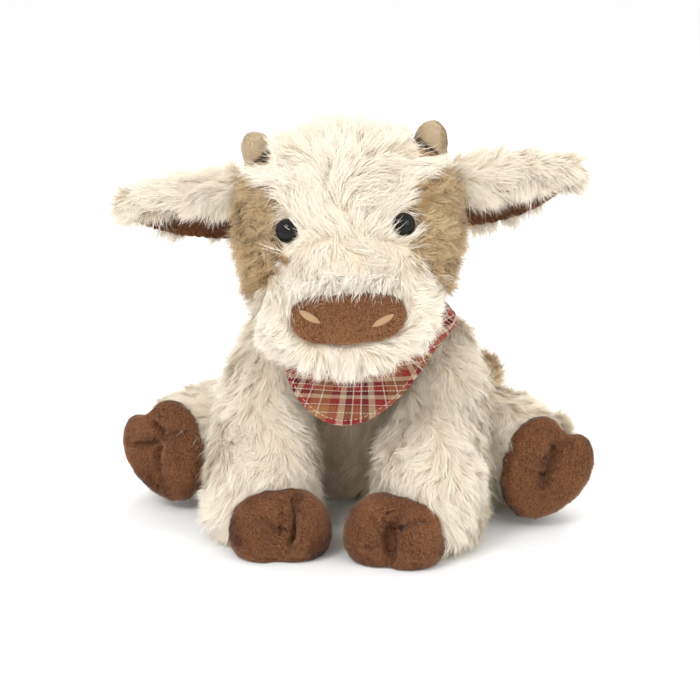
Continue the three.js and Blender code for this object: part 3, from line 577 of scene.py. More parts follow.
def fur_material(name, root, body, tip, pale):
    """Pile that darkens towards its root: painted shade, for the shade deep in the pile.
    The map's U is the strand's own tone, and its V runs up the strand."""
    m = Nodes(name)
    tone, up = m.map_axes("OFBake")
    along = m.ramp(up, [(0.0, root), (0.35, body), (1.0, tip)])
    m.set(Base_Color=m.mix(tone, along, pale))
    m.set(Roughness=0.8, Sheen_Weight=0.15, Sheen_Roughness=0.5, Specular_IOR_Level=0.2)
    return m.material


def mottled_material(name, dark, light, roughness, specular, scale=400.0, light_from=0.7):
    m = Nodes(name)
    m.set(Base_Color=m.ramp(m.noise(scale), [(0.3, dark), (light_from, light)]))
    m.set(Roughness=roughness, Specular_IOR_Level=specular)
    return m.material


def plush_material(name, dark, middle, light):
    """Short-pile fabric, mottled lighter and darker where its nap was stroked: painted sheen, for the way the
    stroked pile catches the light. Its fine speckle is lighter where the bump stands higher: painted light on
    the raised pile.
    """
    m = Nodes(name)
    fine = m.noise(1500.0, 2.0)
    base = m.ramp(m.noise(70.0, 4.0), [(0.3, dark), (0.52, middle), (0.75, light)])
    speckle = m.ramp(fine, [(0.35, (0, 0, 0)), (0.65, (1, 1, 1))])
    m.set(Base_Color=m.mix(speckle, base, light, "SOFT_LIGHT"))
    m.set(Roughness=0.85, Sheen_Weight=0.4, Sheen_Roughness=0.35, Specular_IOR_Level=0.2)
    m.bump(fine, 0.4 * MM, 0.6)
    return m.material


def thread_material(name, color, dark):
    m = Nodes(name)
    bands = {"wave_type": "BANDS", "bands_direction": "DIAGONAL"}
    wave = m.texture("TexWave", Scale=900.0, Distortion=0.6, **bands)
    # The thread is darker where its bump is low, in the grooves between threads: painted shade
    m.set(Base_Color=m.mix(wave, dark, color))
    m.set(Roughness=0.45, Sheen_Weight=0.3, Specular_IOR_Level=0.5)
    m.bump(wave, 0.25 * MM, 0.8)
    return m.material


def check_material(name):
    """A yarn-dyed check: the same stripes run both ways, and the weave shows one or the other."""
    m = Nodes(name)
    axes = m.map_axes("Cloth")
    period = sum(width for width, _ in CHECK)
    stops, start = [], 0.0
    for width, color in CHECK:
        stops.append((start / period, color))
        start += width
    warp, weft = (
        m.ramp(m.math("FRACT", m.math("MULTIPLY", axis, 1 / (period * MM))), stops, "CONSTANT")
        for axis in axes
    )
    ridges = [m.math("SINE", m.math("MULTIPLY", axis, 2 * math.pi / WEAVE_PITCH)) for axis in axes]
    over = m.math("MULTIPLY", *ridges)
    shown = m.math("ADD", m.math("MULTIPLY", over, WEAVE_CONTRAST), 0.5)
    shown = m.math("MINIMUM", m.math("MAXIMUM", shown, WEAVE_LEAST), 1 - WEAVE_LEAST)
    woven = m.mix(shown, warp, weft)
    slub = m.ramp(m.noise(900.0), [(0.3, (0.75, 0.75, 0.75)), (0.7, (1.0, 1.0, 1.0))])
    m.set(Base_Color=m.mix(1.0, woven, slub, "MULTIPLY"))
    m.set(Roughness=0.85, Sheen_Weight=0.15, Specular_IOR_Level=0.2)
    m.bump(m.math("ABSOLUTE", over), 0.15 * MM, 0.5)
    return m.material


# Each fur's colours: root, middle, tip, and the palest strands. The darker roots are painted shade deep in
# the pile
CREAM_FUR = fur_material(
    "cream_fur", (0.80, 0.63, 0.42), (0.88, 0.77, 0.60), (0.93, 0.86, 0.72), (0.96, 0.92, 0.83))
# The chest fur is darker and browner than the cream fur: painted shade, for the shadow under the neckerchief
# between the forelegs
SHADED_CHEST_FUR = fur_material(
    "chest_fur_painted_shade", (0.60, 0.40, 0.22), (0.74, 0.56, 0.37), (0.83, 0.68, 0.49), (0.90, 0.80, 0.64))
TAN_FUR = fur_material(
    "tan_fur", (0.13, 0.055, 0.018), (0.31, 0.17, 0.066), (0.48, 0.315, 0.145), (0.88, 0.71, 0.46))
BROWN_NAP = fur_material(
    "brown_nap", (0.11, 0.041, 0.016), (0.19, 0.077, 0.031), (0.27, 0.116, 0.049), (0.40, 0.19, 0.088))
HORN_NAP = fur_material(
    "horn_nap", (0.46, 0.36, 0.24), (0.56, 0.44, 0.30), (0.64, 0.52, 0.37), (0.74, 0.62, 0.46))
CREAM_BACKING = mottled_material("cream_backing", (0.80, 0.69, 0.52), (0.86, 0.76, 0.60), 0.95, 0.1)
TAN_BACKING = mottled_material("tan_backing", (0.22, 0.12, 0.05), (0.30, 0.17, 0.08), 0.95, 0.1)
BROWN_PLUSH = plush_material("brown_plush", (0.10, 0.037, 0.014), (0.15, 0.060, 0.025), (0.20, 0.085, 0.037))
HORN_PLUSH = plush_material("horn_plush", (0.44, 0.34, 0.23), (0.52, 0.41, 0.28), (0.60, 0.48, 0.34))
NOSTRIL_THREAD = thread_material("nostril_thread", (0.60, 0.38, 0.18), (0.36, 0.2, 0.09))
HEM_THREAD = thread_material("hem_thread", (0.86, 0.76, 0.60), (0.66, 0.54, 0.4))
EYE_GLOSS = mottled_material(
    "eye_gloss", (0.004, 0.0035, 0.0035), (0.008, 0.006, 0.006), 0.08, 0.25, 300.0, 0.8)
WASHER_PLASTIC = mottled_material(
    "washer_plastic", (0.72, 0.71, 0.67), (0.78, 0.77, 0.74), 0.4, 0.4, 300.0, 0.8)
CHECKED_CLOTH = check_material("checked_cloth")


# Hides and hooves


def crease_line(tree, middle, places):
    """Where a crease's places meet a surface, along the line of sight."""
    right = LINE_OF_SIGHT.cross(Vector((0, 0, 1))).normalized()
    up = right.cross(LINE_OF_SIGHT)
    origins = (middle + right * x * MM + up * y * MM - LINE_OF_SIGHT * CREASE_REACH for x, y in places)
    hits = (tree.ray_cast(origin, LINE_OF_SIGHT)[0] for origin in origins)
    return [np.array(hit) for hit in hits if hit is not None]


def press_creases(mesh, creases):
    """Presses creases into a mesh, and lifts the fabric a little along both sides of each."""
    points, normals, _ = arrays_of(mesh)
    tree = tree_of(mesh)
    middle = Vector((points.min(axis=0) + points.max(axis=0)) / 2)
    moved = points.copy()
    for depth, width, places in creases:
        line = crease_line(tree, middle, places)
        nearest, along = np.full(len(points), np.inf), np.zeros(len(points))
        for i, (a, b) in enumerate(zip(line, line[1:])):
            span = b - a
            share = np.clip((points - a) @ span / (span @ span), 0, 1)
            away = np.linalg.norm(points - a - share[:, None] * span, axis=1)
            closer = away < nearest
            nearest[closer] = away[closer]
            along[closer] = ((i + share) / (len(line) - 1))[closer]
        ends = np.clip(np.minimum(along, 1 - along) * CREASE_ENDS, CREASE_LEAST, 1)
        reach = nearest / (width * MM)
        press = np.exp(-reach ** 2) - CREASE_LIP * np.exp(-((reach - LIP_PLACE) / LIP_WIDTH) ** 2)
        press += CREASE_VALLEY * np.exp(-(reach / VALLEY_WIDTH) ** 2)
        moved -= normals * (depth * MM * press * ends)[:, None]
    moved[:, 2] = np.maximum(moved[:, 2], 0)
    set_points(mesh, moved)


def build_hoof(body):
    leg, side = body.split("leg_")
    name, node = f"{leg}_hoof_cap_{side}", f"{leg}_hoof_{side}"
    hoof = padded_piece(name, [node], HOOF_FINISH, body, BROWN_PLUSH, "brown_plush")
    press_creases(hoof.data, hoof_creases[body])
    return hoof


hides = {
    body: padded_piece(f"{body}_hide", nodes, HIDE_FINISH, body, CREAM_BACKING, "cream_fur")
    for body, nodes in STUFFED.items()
}
hide_trees = {body: tree_of(hide.data) for body, hide in hides.items()}
hooves = {body: build_hoof(body) for body in hoof_creases}
hoof_trees = {body: tree_of(hoof.data) for body, hoof in hooves.items()}


# Neckerchief


def torso_section(height):
    """The torso's middle, half width and half depth at a height, all in millimetres."""
    at = min(1, max(0, (height + FLAT_DEPTH) / TORSO_HEIGHT))
    heights, *columns = torso_ring_shares.T
    width, depth, lean = (np.interp(at, heights, column) for column in columns)
    middle = -NECK_FORWARD + lean * (SEAT_BACK + NECK_FORWARD)
    return middle, TORSO_HALF_WIDTH * width, TORSO_HALF_DEPTH * depth


def scarf_fall(turn):
    """How near the bib's middle this turn is, and how far the cloth hangs there, in millimetres."""
    frontness = max(0, math.cos(turn)) ** SCARF_BIB_POWER
    return frontness, SCARF_BAND + (SCARF_BIB - SCARF_BAND) * frontness


def scarf_point(turn, drop, outward):
    """One place on the cloth, and its place when flat.
    Turn 0 is the front, drop 0 the neck and drop 1 the hem."""
    ahead = math.cos(turn)
    frontness, fall = scarf_fall(turn)
    height = SCARF_TOP - (SCARF_FRONT_DROP if ahead > 0 else SCARF_REAR_RISE) * ahead - drop * fall
    middle, half_width, half_depth = torso_section(height)
    fold = SCARF_FOLD * frontness * math.cos(SCARF_FOLDS * turn)
    pull = math.exp(-((turn - SCARF_PULL_TURN) / SCARF_PULL_REACH) ** 2)
    out = SCARF_NECK_LIFT + drop * (SCARF_BIB_LIFT * math.sqrt(frontness) + fold) + outward / MM
    out += pull * SCARF_PULL_OUT
    around = turn + math.radians(SCARF_TURN)
    place = MM * Vector((
        (half_width + out) * math.sin(around) - SCARF_TIP_LEAN * drop * frontness,
        middle + FRAME_BACK - (half_depth + out) * math.cos(around),
        height + pull * SCARF_PULL_UP,
    ))
    return place, (turn * SCARF_ROUND * MM, drop * fall * MM)


def wrinkle_at(turn, drop):
    """Soft folds that sag across the bib from its sides, deepest half way down."""
    sag = SAG_FOLDS * drop + SAG_DROP * turn * turn
    around, down, start = SLANT_WAVE
    slant = math.sin(around * turn + down * drop + start)
    folds = SAG_SHARE * math.sin(2 * math.pi * sag + SAG_START) + (1 - SAG_SHARE) * slant
    return WRINKLE * math.sin(math.pi * drop) * folds


def hem_share(turn):
    return HEM_WIDTH / (scarf_fall(turn)[1] * MM)


def cloth_face(turn, drop, always_hem=False):
    """A place on the cloth's outer face, with its wrinkles and its turned-up hem, and its place when flat."""
    hem = HEM_THICKENING if always_hem or drop > 1 - hem_share(turn) else 0
    return scarf_point(turn, drop, SCARF_CLOTH * MM + wrinkle_at(turn, drop) + hem)


def turn_at(share):
    """The turn at this share of the way round, from the nape over the front and back to the nape."""
    return math.pi * (2 * share - 1)


def map_cloth(mesh, flat):
    layer = mesh.uv_layers.new(name="Cloth")
    for loop in mesh.loops:
        layer.data[loop.index].uv = flat[loop.vertex_index]


def build_neckerchief():
    wide = CLOTH_STEPS + 1
    places = [
        cloth_face(turn_at(step / CLOTH_STEPS), row / CLOTH_ROWS)
        for row in range(CLOTH_ROWS + 1) for step in range(wide)
    ]
    corners = (row * wide + step for row in range(CLOTH_ROWS) for step in range(CLOTH_STEPS))
    faces = [(a, a + wide, a + wide + 1, a + 1) for a in corners]
    mesh = smooth_mesh("neckerchief_cloth", [place for place, _ in places], faces)
    map_cloth(mesh, [flat for _, flat in places])
    made = add_object("neckerchief_cloth", mesh)
    modify(made, "SOLIDIFY", thickness=CLOTH_THICKNESS, offset=-1)
    apply_modifiers(made)
    return place_piece(made, "torso", CHECKED_CLOTH, "checked_cloth", "neckerchief")


def build_hem_stitches():
    """A running stitch along the hem, each stitch a short thread with pointed ends that lies on the cloth."""
    line = []
    for step in range(STITCH_STEPS + 1):
        turn = turn_at(step / STITCH_STEPS)
        line.append(cloth_face(turn, 1 - hem_share(turn) * STITCH_INSET / HEM_WIDTH, True)[0])
    runs, travelled, start = [], 0.0, line[0]
    for before, after in zip(line, line[1:]):
        travelled += (after - before).length
        if start is not None and travelled >= STITCH_LENGTH:
            runs.append((start, after))
            start, travelled = None, 0.0
        elif start is None and travelled >= STITCH_GAP:
            start, travelled = after, 0.0
    points, faces = [], []
    for start, end in runs:
        out = ((start + end) / 2 - STITCH_MIDDLE).normalized()
        side = (end - start).cross(out).normalized()
        rings = []
        for share in STITCH_RINGS:
            middle = start.lerp(end, share) + out * STITCH_RADIUS * math.sin(math.pi * share)
            rings.append([middle + STITCH_RADIUS * (side * c + out * s) for c, s in circle(STITCH_SIDES)])
        more, joined = capped(start, rings, end)
        faces += [[len(points) + corner for corner in face] for face in joined]
        points += more
    made = add_object("neckerchief_stitches", smooth_mesh("neckerchief_stitches", points, faces))
    return place_piece(made, "torso", HEM_THREAD, "thread")


def build_knot():
    nodes = ["neckerchief_knot"]
    made = padded_piece("knot_cloth", nodes, KNOT_FINISH, "torso", CHECKED_CLOTH, "checked_cloth")
    map_cloth(made.data, [(x + 0.5 * z, z) for x, _, z in arrays_of(made.data)[0]])


cloth = build_neckerchief()
build_hem_stitches()
build_knot()
cloth_tree = tree_of(cloth.data)
cloth_points, _, _ = arrays_of(cloth.data)
cloth_low, cloth_high = cloth_points.min(axis=0) - CLOTH_MARGIN, cloth_points.max(axis=0) + CLOTH_MARGIN


def over_cloth(lines):
    """Which strands lie over the neckerchief, as looked at from outside."""
    tips = lines[:, -1]
    over = np.zeros(len(lines), bool)
    for i in np.flatnonzero(np.all((tips > cloth_low) & (tips < cloth_high), axis=1)):
        for place in map(Vector, lines[i][-2:]):
            middle = torso_section(place.z / MM)[0] + FRAME_BACK
            inward = (Vector((0, middle * MM, place.z)) - place).normalized()
            over[i] |= cloth_tree.ray_cast(place, inward, OVER_CLOTH)[0] is not None
    return over


def before_pulled_side(lines):
    """Which strands the line of sight meets before it meets the neckerchief's pulled-out side."""
    tips = lines[:, -1]
    before = (tips[:, 0] > PULLED_SIDE) & (tips[:, 2] > cloth_low[2]) & (tips[:, 2] < cloth_high[2])
    for i in np.flatnonzero(before):
        before[i] = cloth_tree.ray_cast(Vector(tips[i]), LINE_OF_SIGHT, BEFORE_CLOTH)[0] is not None
    return before


def off_the_cloth(lines, rng):
    return ~(over_cloth(lines) | before_pulled_side(lines))


def turned_by_cloth(lines):
    """Turns each strand aside where it would pass through the neckerchief."""
    near = np.any(np.all((lines > cloth_low) & (lines < cloth_high), axis=2), axis=1)
    for line in (lines[i] for i in np.flatnonzero(near)):
        for ring in range(1, len(line)):
            start = Vector(line[ring - 1])
            step = Vector(line[ring]) - start
            if step.length < PROBE_STEP:
                continue
            way = step.normalized()
            hit, normal, _, reach = cloth_tree.ray_cast(start, way, step.length + CLOTH_CLEARANCE)
            if hit is not None:
                stop = start + way * max(0, reach - CLOTH_CLEARANCE)
                line[ring:] += np.array(stop + CLOTH_SLIDE * (step - normal * step.dot(normal))) - line[ring]
    return lines


# Eyes, and the strands that would hide a feature


def eye_setting(side):
    """The middle of a button eye's rim, and the way that the eye looks."""
    eye, washer = node_points(f"eye_{side}"), node_points(f"eye_washer_{side}").mean(axis=0)
    axis = unit(eye.mean(axis=0) - washer)
    return washer + axis * (max((eye - washer) @ axis) - EYE_DOME), axis


def build_eyes():
    arc = np.linspace(0, math.pi / 2, EYE_ARC_STEPS)[:-1]
    profile = [
        (SHANK_RADIUS, -EYE_SHANK), (SHANK_RADIUS, -EYE_FLANGE), (FLANGE_RADIUS, -EYE_FLANGE),
        *((EYE_RADIUS * math.cos(t), EYE_DOME * math.sin(t)) for t in arc),
    ]
    for side in SIDES:
        rim, axis = eye_setting(side)
        turn = Vector((0, 0, 1)).rotation_difference(Vector(axis))

        def turned(x, y, height):
            return Vector(rim) + turn @ Vector((x, y, height))

        rings = [
            [turned(radius * c, radius * s, height) for c, s in circle(EYE_SIDES)]
            for radius, height in profile
        ]
        form = capped(turned(0, 0, -EYE_SHANK), rings, turned(0, 0, EYE_DOME))
        made = add_object(f"button_eye_{side}", smooth_mesh(f"button_eye_{side}", *form))
        place_piece(made, "head", EYE_GLOSS, "eye_plastic", f"eye_{side}")
        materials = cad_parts[f"eye_washer_{side}"].data.materials
        materials.clear()
        materials.append(WASHER_PLASTIC)


def over_eyes(lines):
    """Which strands hang over a button eye."""
    over = np.zeros(len(lines), bool)
    for side in SIDES:
        rim, axis = eye_setting(side)
        ahead = (lines - rim) @ axis
        away = np.linalg.norm(lines - rim - ahead[..., None] * axis, axis=2)
        over |= np.any(away < EYE_CLEAR, axis=1)
    return over


def over_horns(lines):
    """Which strands hang in front of a horn above its fringe."""
    over = np.zeros(len(lines), bool)
    x, y, z = np.moveaxis(lines, 2, 0)
    for side in SIDES:
        points = node_points(f"horn_{side}")
        heights = np.linspace(points[:, 2].min() + HORN_FRINGE, points[:, 2].max(), HORN_SLICES)
        slices = [(height, points[np.abs(points[:, 2] - height) < HORN_SLICE]) for height in heights]
        heights, rows = zip(*((height, row) for height, row in slices if len(row)))
        middles = np.array([row.mean(axis=0) for row in rows])
        reach = np.array([np.ptp(row[:, 0]) / 2 for row in rows]) + HORN_ROOM
        half = np.interp(z, heights, reach)
        span = (z > heights[0]) & (z < heights[-1] + HORN_ROOM)
        level = np.abs(x - np.interp(z, heights, middles[:, 0])) < half
        before = y < np.interp(z, heights, middles[:, 1]) + half
        over |= np.any(span & level & before, axis=1)
    return over


def trim(lines, which):
    lines[which] = lines[which, :1] + TRIMMED * (lines[which] - lines[which, :1])


def features_in_sight(lines, rng):
    """Trims the strands that would hide an eye or a horn, and again where once isn't enough."""
    chosen = rng.random(len(lines)) < CLEARED_SHARE
    for _ in range(TRIMS):
        trim(lines, chosen & (over_eyes(lines) | over_horns(lines)))
    return ~(chosen & over_eyes(lines))


def face_in_sight(lines, rng):
    """The same, and trims the strands that would hide the pulled-out side of the neckerchief."""
    trim(lines, before_pulled_side(lines))
    return features_in_sight(lines, rng)


# Fur


@dataclass
class Coat:
    """How one stretch of fur grows. Angles are in degrees, and the density is for a square millimetre."""
    comb: object
    length: float = 14 * MM
    spacing: float = 6.5 * MM
    density: float = 2.8
    width: float = 0.14 * MM
    lift: tuple = (40, 6)
    wave: float = 1.0 * MM
    waves: float = 1.0
    flow: float = 32
    swirl: float = 16
    clump: float = 0.22
    tone: tuple = (0.0, 0.45)
    strand: tuple = LONG_STRAND
    flattening: float = TOP_FLATTENING

    def __post_init__(self):
        self.places, self.girths = np.array(self.strand).T


def roots_on(made, density, seed):
    """Random roots over a mesh, evenly by area, and the way that the surface faces at each."""
    points, normals, triangles = arrays_of(made.data)
    rng = np.random.default_rng(seed)
    corners = points[triangles]
    areas = np.linalg.norm(np.cross(corners[:, 1] - corners[:, 0], corners[:, 2] - corners[:, 0]), axis=1) / 2
    count = int(areas.sum() * (density / MM ** 2))
    chosen = rng.choice(len(triangles), count, p=areas / areas.sum())
    a, b = rng.random((2, count))
    flip = a + b > 1
    a[flip], b[flip] = 1 - a[flip], 1 - b[flip]
    weights = np.stack([1 - a - b, a, b], axis=1)[:, :, None]
    places = np.sum(corners[chosen] * weights, axis=1)
    return places, unit(np.sum(normals[triangles[chosen]] * weights, axis=1))


def thinned(places, spacing):
    """At most one place for each cell of this size."""
    cells = np.floor(places / spacing).astype(np.int64)
    _, first = np.unique(cells, axis=0, return_index=True)
    return np.sort(first)


def flow_at(places, degrees):
    """A smooth turn, in radians, that neighbouring locks share."""
    rng = np.random.default_rng(FLOW_SEED)
    total = np.zeros(len(places))
    for _ in range(FLOW_WAVES):
        way = unit(rng.normal(size=3)) * 2 * np.pi / (FLOW_LENGTH * rng.uniform(*FLOW_SPREAD))
        total += np.sin(places @ way + rng.uniform(0, 2 * np.pi))
    return np.radians(degrees) * total * math.sqrt(2 / FLOW_WAVES)


def lock_paths(coat, centres, facing, rng):
    """The line that each lock follows from its centre, and the side that it waves to."""
    count = len(centres)
    along = tangential(coat.comb(centres, facing), facing)
    across = np.cross(facing, along)
    turn = (flow_at(centres, coat.flow) + np.radians(rng.normal(0, coat.swirl, count)))[:, None]
    along, across = along * np.cos(turn) + across * np.sin(turn), across * np.cos(turn) - along * np.sin(turn)
    lengths = (coat.length * rng.uniform(*LOCK_LENGTHS, count))[:, None]
    steps = np.diff(coat.places)
    middles = (coat.places[1:] + coat.places[:-1]) / 2
    root, tip = coat.lift
    flatter = 1 - coat.flattening * np.clip(facing[:, 2:], 0, 1)
    lift = flatter * (root + (tip - root) * middles)
    rise = np.radians(lift + rng.normal(0, LOCK_RISE, count)[:, None])

    def summed(shares):
        return np.concatenate([np.zeros((count, 1)), np.cumsum(shares * steps, axis=1)], axis=1) * lengths

    ahead, above = summed(np.cos(rise)), summed(np.sin(rise))
    phase = rng.uniform(0, 2 * np.pi, count)[:, None]
    cycles = coat.waves * rng.uniform(*LOCK_CYCLES, count)[:, None]
    size = coat.wave * rng.uniform(*LOCK_WAVES, count)[:, None] * coat.places ** WAVE_GROWTH
    turns = 2 * np.pi * cycles * coat.places + phase
    beside, above = size * np.sin(turns), above + 0.5 * size * np.cos(turns)
    moves = ((ahead, along), (above, facing), (beside, across))
    return sum(share[:, :, None] * way[:, None, :] for share, way in moves), across


def strand_lines(coat, places, facing, rng):
    """Points along each strand: strands of one lock start apart and draw together, and share one side."""
    parted = places + facing * SIDE_PARTING
    chosen = thinned(parted, coat.spacing)
    centres = places[chosen]
    paths, across = lock_paths(coat, centres, facing[chosen], rng)
    near = KDTree(len(centres))
    for i, centre in enumerate(parted[chosen]):
        near.insert(centre, i)
    near.balance()
    owner = np.array([near.find(place)[1] for place in parted])
    count = len(places)
    draw = coat.clump * coat.places ** CLUMP_GROWTH
    reach = rng.uniform(*STRAND_LENGTHS, count)[:, None, None]
    stray = rng.normal(0, STRAY_SHARE * coat.length, (count, 1, 3)) * coat.places[None, :, None]
    drawn = (centres[owner] - places)[:, None, :] * draw[None, :, None]
    lines = places[:, None, :] + drawn + paths[owner] * reach + stray
    return lines, across[owner], rng.random(len(centres))[owner]


def ribbon_sides(lines, across, facing, rng):
    """The way that each ribbon's width runs at each ring, turned a little at random from lying flat."""
    turn = rng.normal(0, RIBBON_TWIST, len(lines))[:, None]
    flat = across * np.cos(turn) + facing * np.sin(turn)
    return tangential(flat[:, None, :], unit(np.gradient(lines, axis=1)))


def strand_mesh(name, coat, lines, sides, facing, widths, tones):
    """All the strands of one piece as one mesh of ribbons, with the map that their colour reads.
    Their normals lean towards the hide's, so that the pile shades as one soft surface."""
    count, rings = lines.shape[0], lines.shape[1] - 1
    half = (widths[:, None] * coat.girths[:rings])[:, :, None] * sides[:, :rings]
    pairs = np.stack([lines[:, :rings] - half, lines[:, :rings] + half], axis=2)
    each = 2 * rings + 1
    points = np.concatenate([pairs.reshape(count, -1, 3), lines[:, -1:, :]], axis=1)
    points[:, :, 2] = np.maximum(points[:, :, 2], GROUND_CLEARANCE)
    corners, heights, edges = [], [], []
    for r in range(rings - 1):
        corners += [2 * r + 1, 2 * r, 2 * r + 2, 2 * r + 3]
        heights += [r, r, r + 1, r + 1]
        edges += [1, 0, 0, 1]
    corners += [2 * rings - 1, 2 * rings - 2, 2 * rings]
    heights += [rings - 1, rings - 1, rings]
    edges += [1, 0, 0.5]
    loops = (np.array(corners) + each * np.arange(count)[:, None]).ravel()
    totals = np.tile([4] * (rings - 1) + [3], count)
    starts = np.concatenate([[0], np.cumsum(totals)[:-1]])
    mesh = bpy.data.meshes.new(name)
    mesh.vertices.add(count * each)
    mesh.loops.add(len(loops))
    mesh.polygons.add(len(totals))
    store(mesh.vertices, "co", points)
    store(mesh.loops, "vertex_index", loops, np.int32)
    store(mesh.polygons, "loop_start", starts, np.int32)
    store(mesh.polygons, "loop_total", totals, np.int32)
    layer = mesh.uv_layers.new(name="OFBake")
    u = np.clip(tones[:, None] * (1 - TONE_WIDTH) + TONE_WIDTH * np.array(edges), 0, 1)
    v = np.tile(coat.places[heights], (count, 1))
    store(layer.data, "uv", np.stack([u, v], axis=2))
    mesh.update(calc_edges=True)
    mesh.shade_smooth()
    own, over = arrays_of(mesh)[1].reshape(count, each, 3), facing[:, None, :]
    own *= np.where(np.sum(own * over, axis=2, keepdims=True) < 0, -1, 1)
    blended = unit(own * (1 - SOFTNESS) + over * SOFTNESS)
    store(mesh.attributes.new("custom_normal", "FLOAT_VECTOR", "POINT").data, "vector", blended)
    return mesh


def some(roots, which):
    return tuple(part[which] for part in roots)


def grow(name, body, coat, roots, material, slot, seed, whiteness_and_painted_shade=None, clear=None):
    """Fur from its roots, riding on its body, in as many pieces as the largest allows."""
    triangles = 2 * (len(coat.places) - 2) + 1
    parts = math.ceil(len(roots[0]) * triangles / MOST_TRIANGLES)
    order = np.argsort(roots[0] @ SPLIT_DIRECTION)
    least, most = coat.tone
    for part, which in enumerate(np.array_split(order, parts)):
        rng = np.random.default_rng(seed + SEED_STEP * part)
        places, facing = some(roots, which)
        lines, across, lock_tones = strand_lines(coat, places, facing, rng)
        lines = turned_by_cloth(lines)
        tones = least + (most - least) * (0.5 * lock_tones + 0.5 * rng.random(len(lines)))
        if whiteness_and_painted_shade is not None:
            tones = tones + (1 - tones) * whiteness_and_painted_shade[which]
        sides = ribbon_sides(lines, across, facing, rng)
        widths = coat.width * rng.uniform(*STRAND_WIDTHS, len(lines))
        kept = clear(lines, rng) if clear else np.ones(len(lines), bool)
        mesh = strand_mesh(f"{name}_{part + 1}", coat, *some((lines, sides, facing, widths, tones), kept))
        place_piece(add_object(mesh.name, mesh), body, material, slot)


# The head's own axes: outward to its left, back, and up


def head_axes():
    turned = Matrix.Rotation(math.radians(HEAD_TURN), 3, "Z")
    return np.array(turned @ Matrix.Rotation(math.radians(-HEAD_ROLL), 3, "Y"))


def in_head(places):
    return (places - np.array(HEAD_PIVOT)) @ head_axes()


def from_head(vectors):
    return vectors @ head_axes().T


# Ways that the fur lies, as a vector for each place


def ways(places, *parts):
    """Vectors from their three parts, each an array or one number for all places."""
    return np.stack([np.broadcast_to(part, len(places)).astype(float) for part in parts], axis=1)


def comb_torso(places, facing):
    outward = 0.35 * unit(places[:, :2] - TORSO_MIDDLE)
    return ways(places, outward[:, 0], outward[:, 1], -1)


def comb_foreleg(places, facing):
    x = places[:, 0]
    beside = np.clip((np.abs(x) - FORELEG_MIDDLE) / FORELEG_HALF, -1, 1)
    return ways(places, 0.4 * np.sign(x) * beside, -0.45, -1)


def comb_hindleg(places, facing):
    return ways(places, np.sign(places[:, 0]), -0.75, -0.35)


def comb_head(places, facing):
    """Down over the forehead and the nose, and out and down from the muzzle."""
    local = in_head(places)
    low = np.clip((NOSE_LEVEL - local[:, 2]) / MUZZLE_DROP, 0, 1)
    beside = np.clip(local[:, 0] / MUZZLE_HALF, -1.3, 1.3)
    return from_head(ways(places, beside * (0.35 + 0.75 * low), -0.25 + 0.4 * np.abs(beside), -1))


def comb_cheek(places, facing):
    """Back and down along the side of the muzzle."""
    return from_head(ways(places, 0, 0.6, -0.7))


def comb_crown(places, facing):
    """Back over the top of the head, and down at its sides."""
    return from_head(ways(places, in_head(places)[:, 0] / CROWN_HALF, 0.7, -0.2))


def comb_patch(places, facing):
    return from_head(ways(places, 0.3 * np.sign(in_head(places)[:, 0]), 0.25, -0.8))


def comb_ear(places, facing):
    return ways(places, 0.8 * np.sign(places[:, 0]), -0.35 + 0.9 * np.clip(facing[:, 2], 0, 1), -0.6)


def comb_down(places, facing):
    return ways(places, 0, -0.2, -1)


def comb_tail(places, facing):
    return ways(places, 1, -0.35, 0)


# Fur of each form


def uncovered(body, places, facing):
    """Which roots don't lie deep in another stuffed form or under a hoof."""
    kept = np.ones(len(places), bool)
    for other, hide in hides.items():
        if other != body:
            kept &= ~deeper_than(hide.data, hide_trees[other], places, BURY_DEPTH)
    if body in hoof_trees:
        for i in np.flatnonzero(kept):
            kept[i] = hoof_trees[body].ray_cast(Vector(places[i]), Vector(facing[i]), HOOF_COVER)[0] is None
    return kept


def clear_of_hoof(body, lines):
    """Which strands don't pass through their leg's hoof."""
    points, _, _ = arrays_of(hooves[body].data)
    clear = np.ones(len(lines), bool)
    for at in np.moveaxis(lines, 1, 0):
        near = np.all((at > points.min(axis=0)) & (at < points.max(axis=0)), axis=1)
        for i in np.flatnonzero(near & clear):
            clear[i] = not is_inside(hoof_trees[body], at[i])
    return clear


def build_plain_fur():
    combs = {"torso": comb_torso, "foreleg": comb_foreleg, "hindleg": comb_hindleg}
    for number, (body, hide) in enumerate(hides.items()):
        if body == "head":
            continue
        coat = Coat(combs[body.split("_")[0]])
        roots = places, facing = roots_on(hide, coat.density, seed=number + 1)
        kept = uncovered(body, places, facing)
        if body == "torso":
            x, _, z = places.T
            # Roots on the chest grow longer fur in the darker chest colours, which are painted shade
            ahead = (facing[:, 1] < CHEST_FACING) & (np.abs(x) < CHEST_HALF)
            chest = kept & ahead & (z > CHEST_LOW) & (z < CHEST_HIGH)
            chest_coat = Coat(comb_torso, length=26 * MM, spacing=8 * MM, lift=(62, 8))
            grow("chest_fur_painted_shade", body, chest_coat, some(roots, chest), SHADED_CHEST_FUR, "cream_fur",
                 seed=99, clear=off_the_cloth)
            kept &= ~chest

        def shown(lines, rng):
            off = off_the_cloth(lines, rng)
            return off & clear_of_hoof(body, lines) if body in hooves else off

        grow(f"{body}_fur", body, coat, some(roots, kept), CREAM_FUR, "cream_fur",
             seed=100 + number, clear=shown)


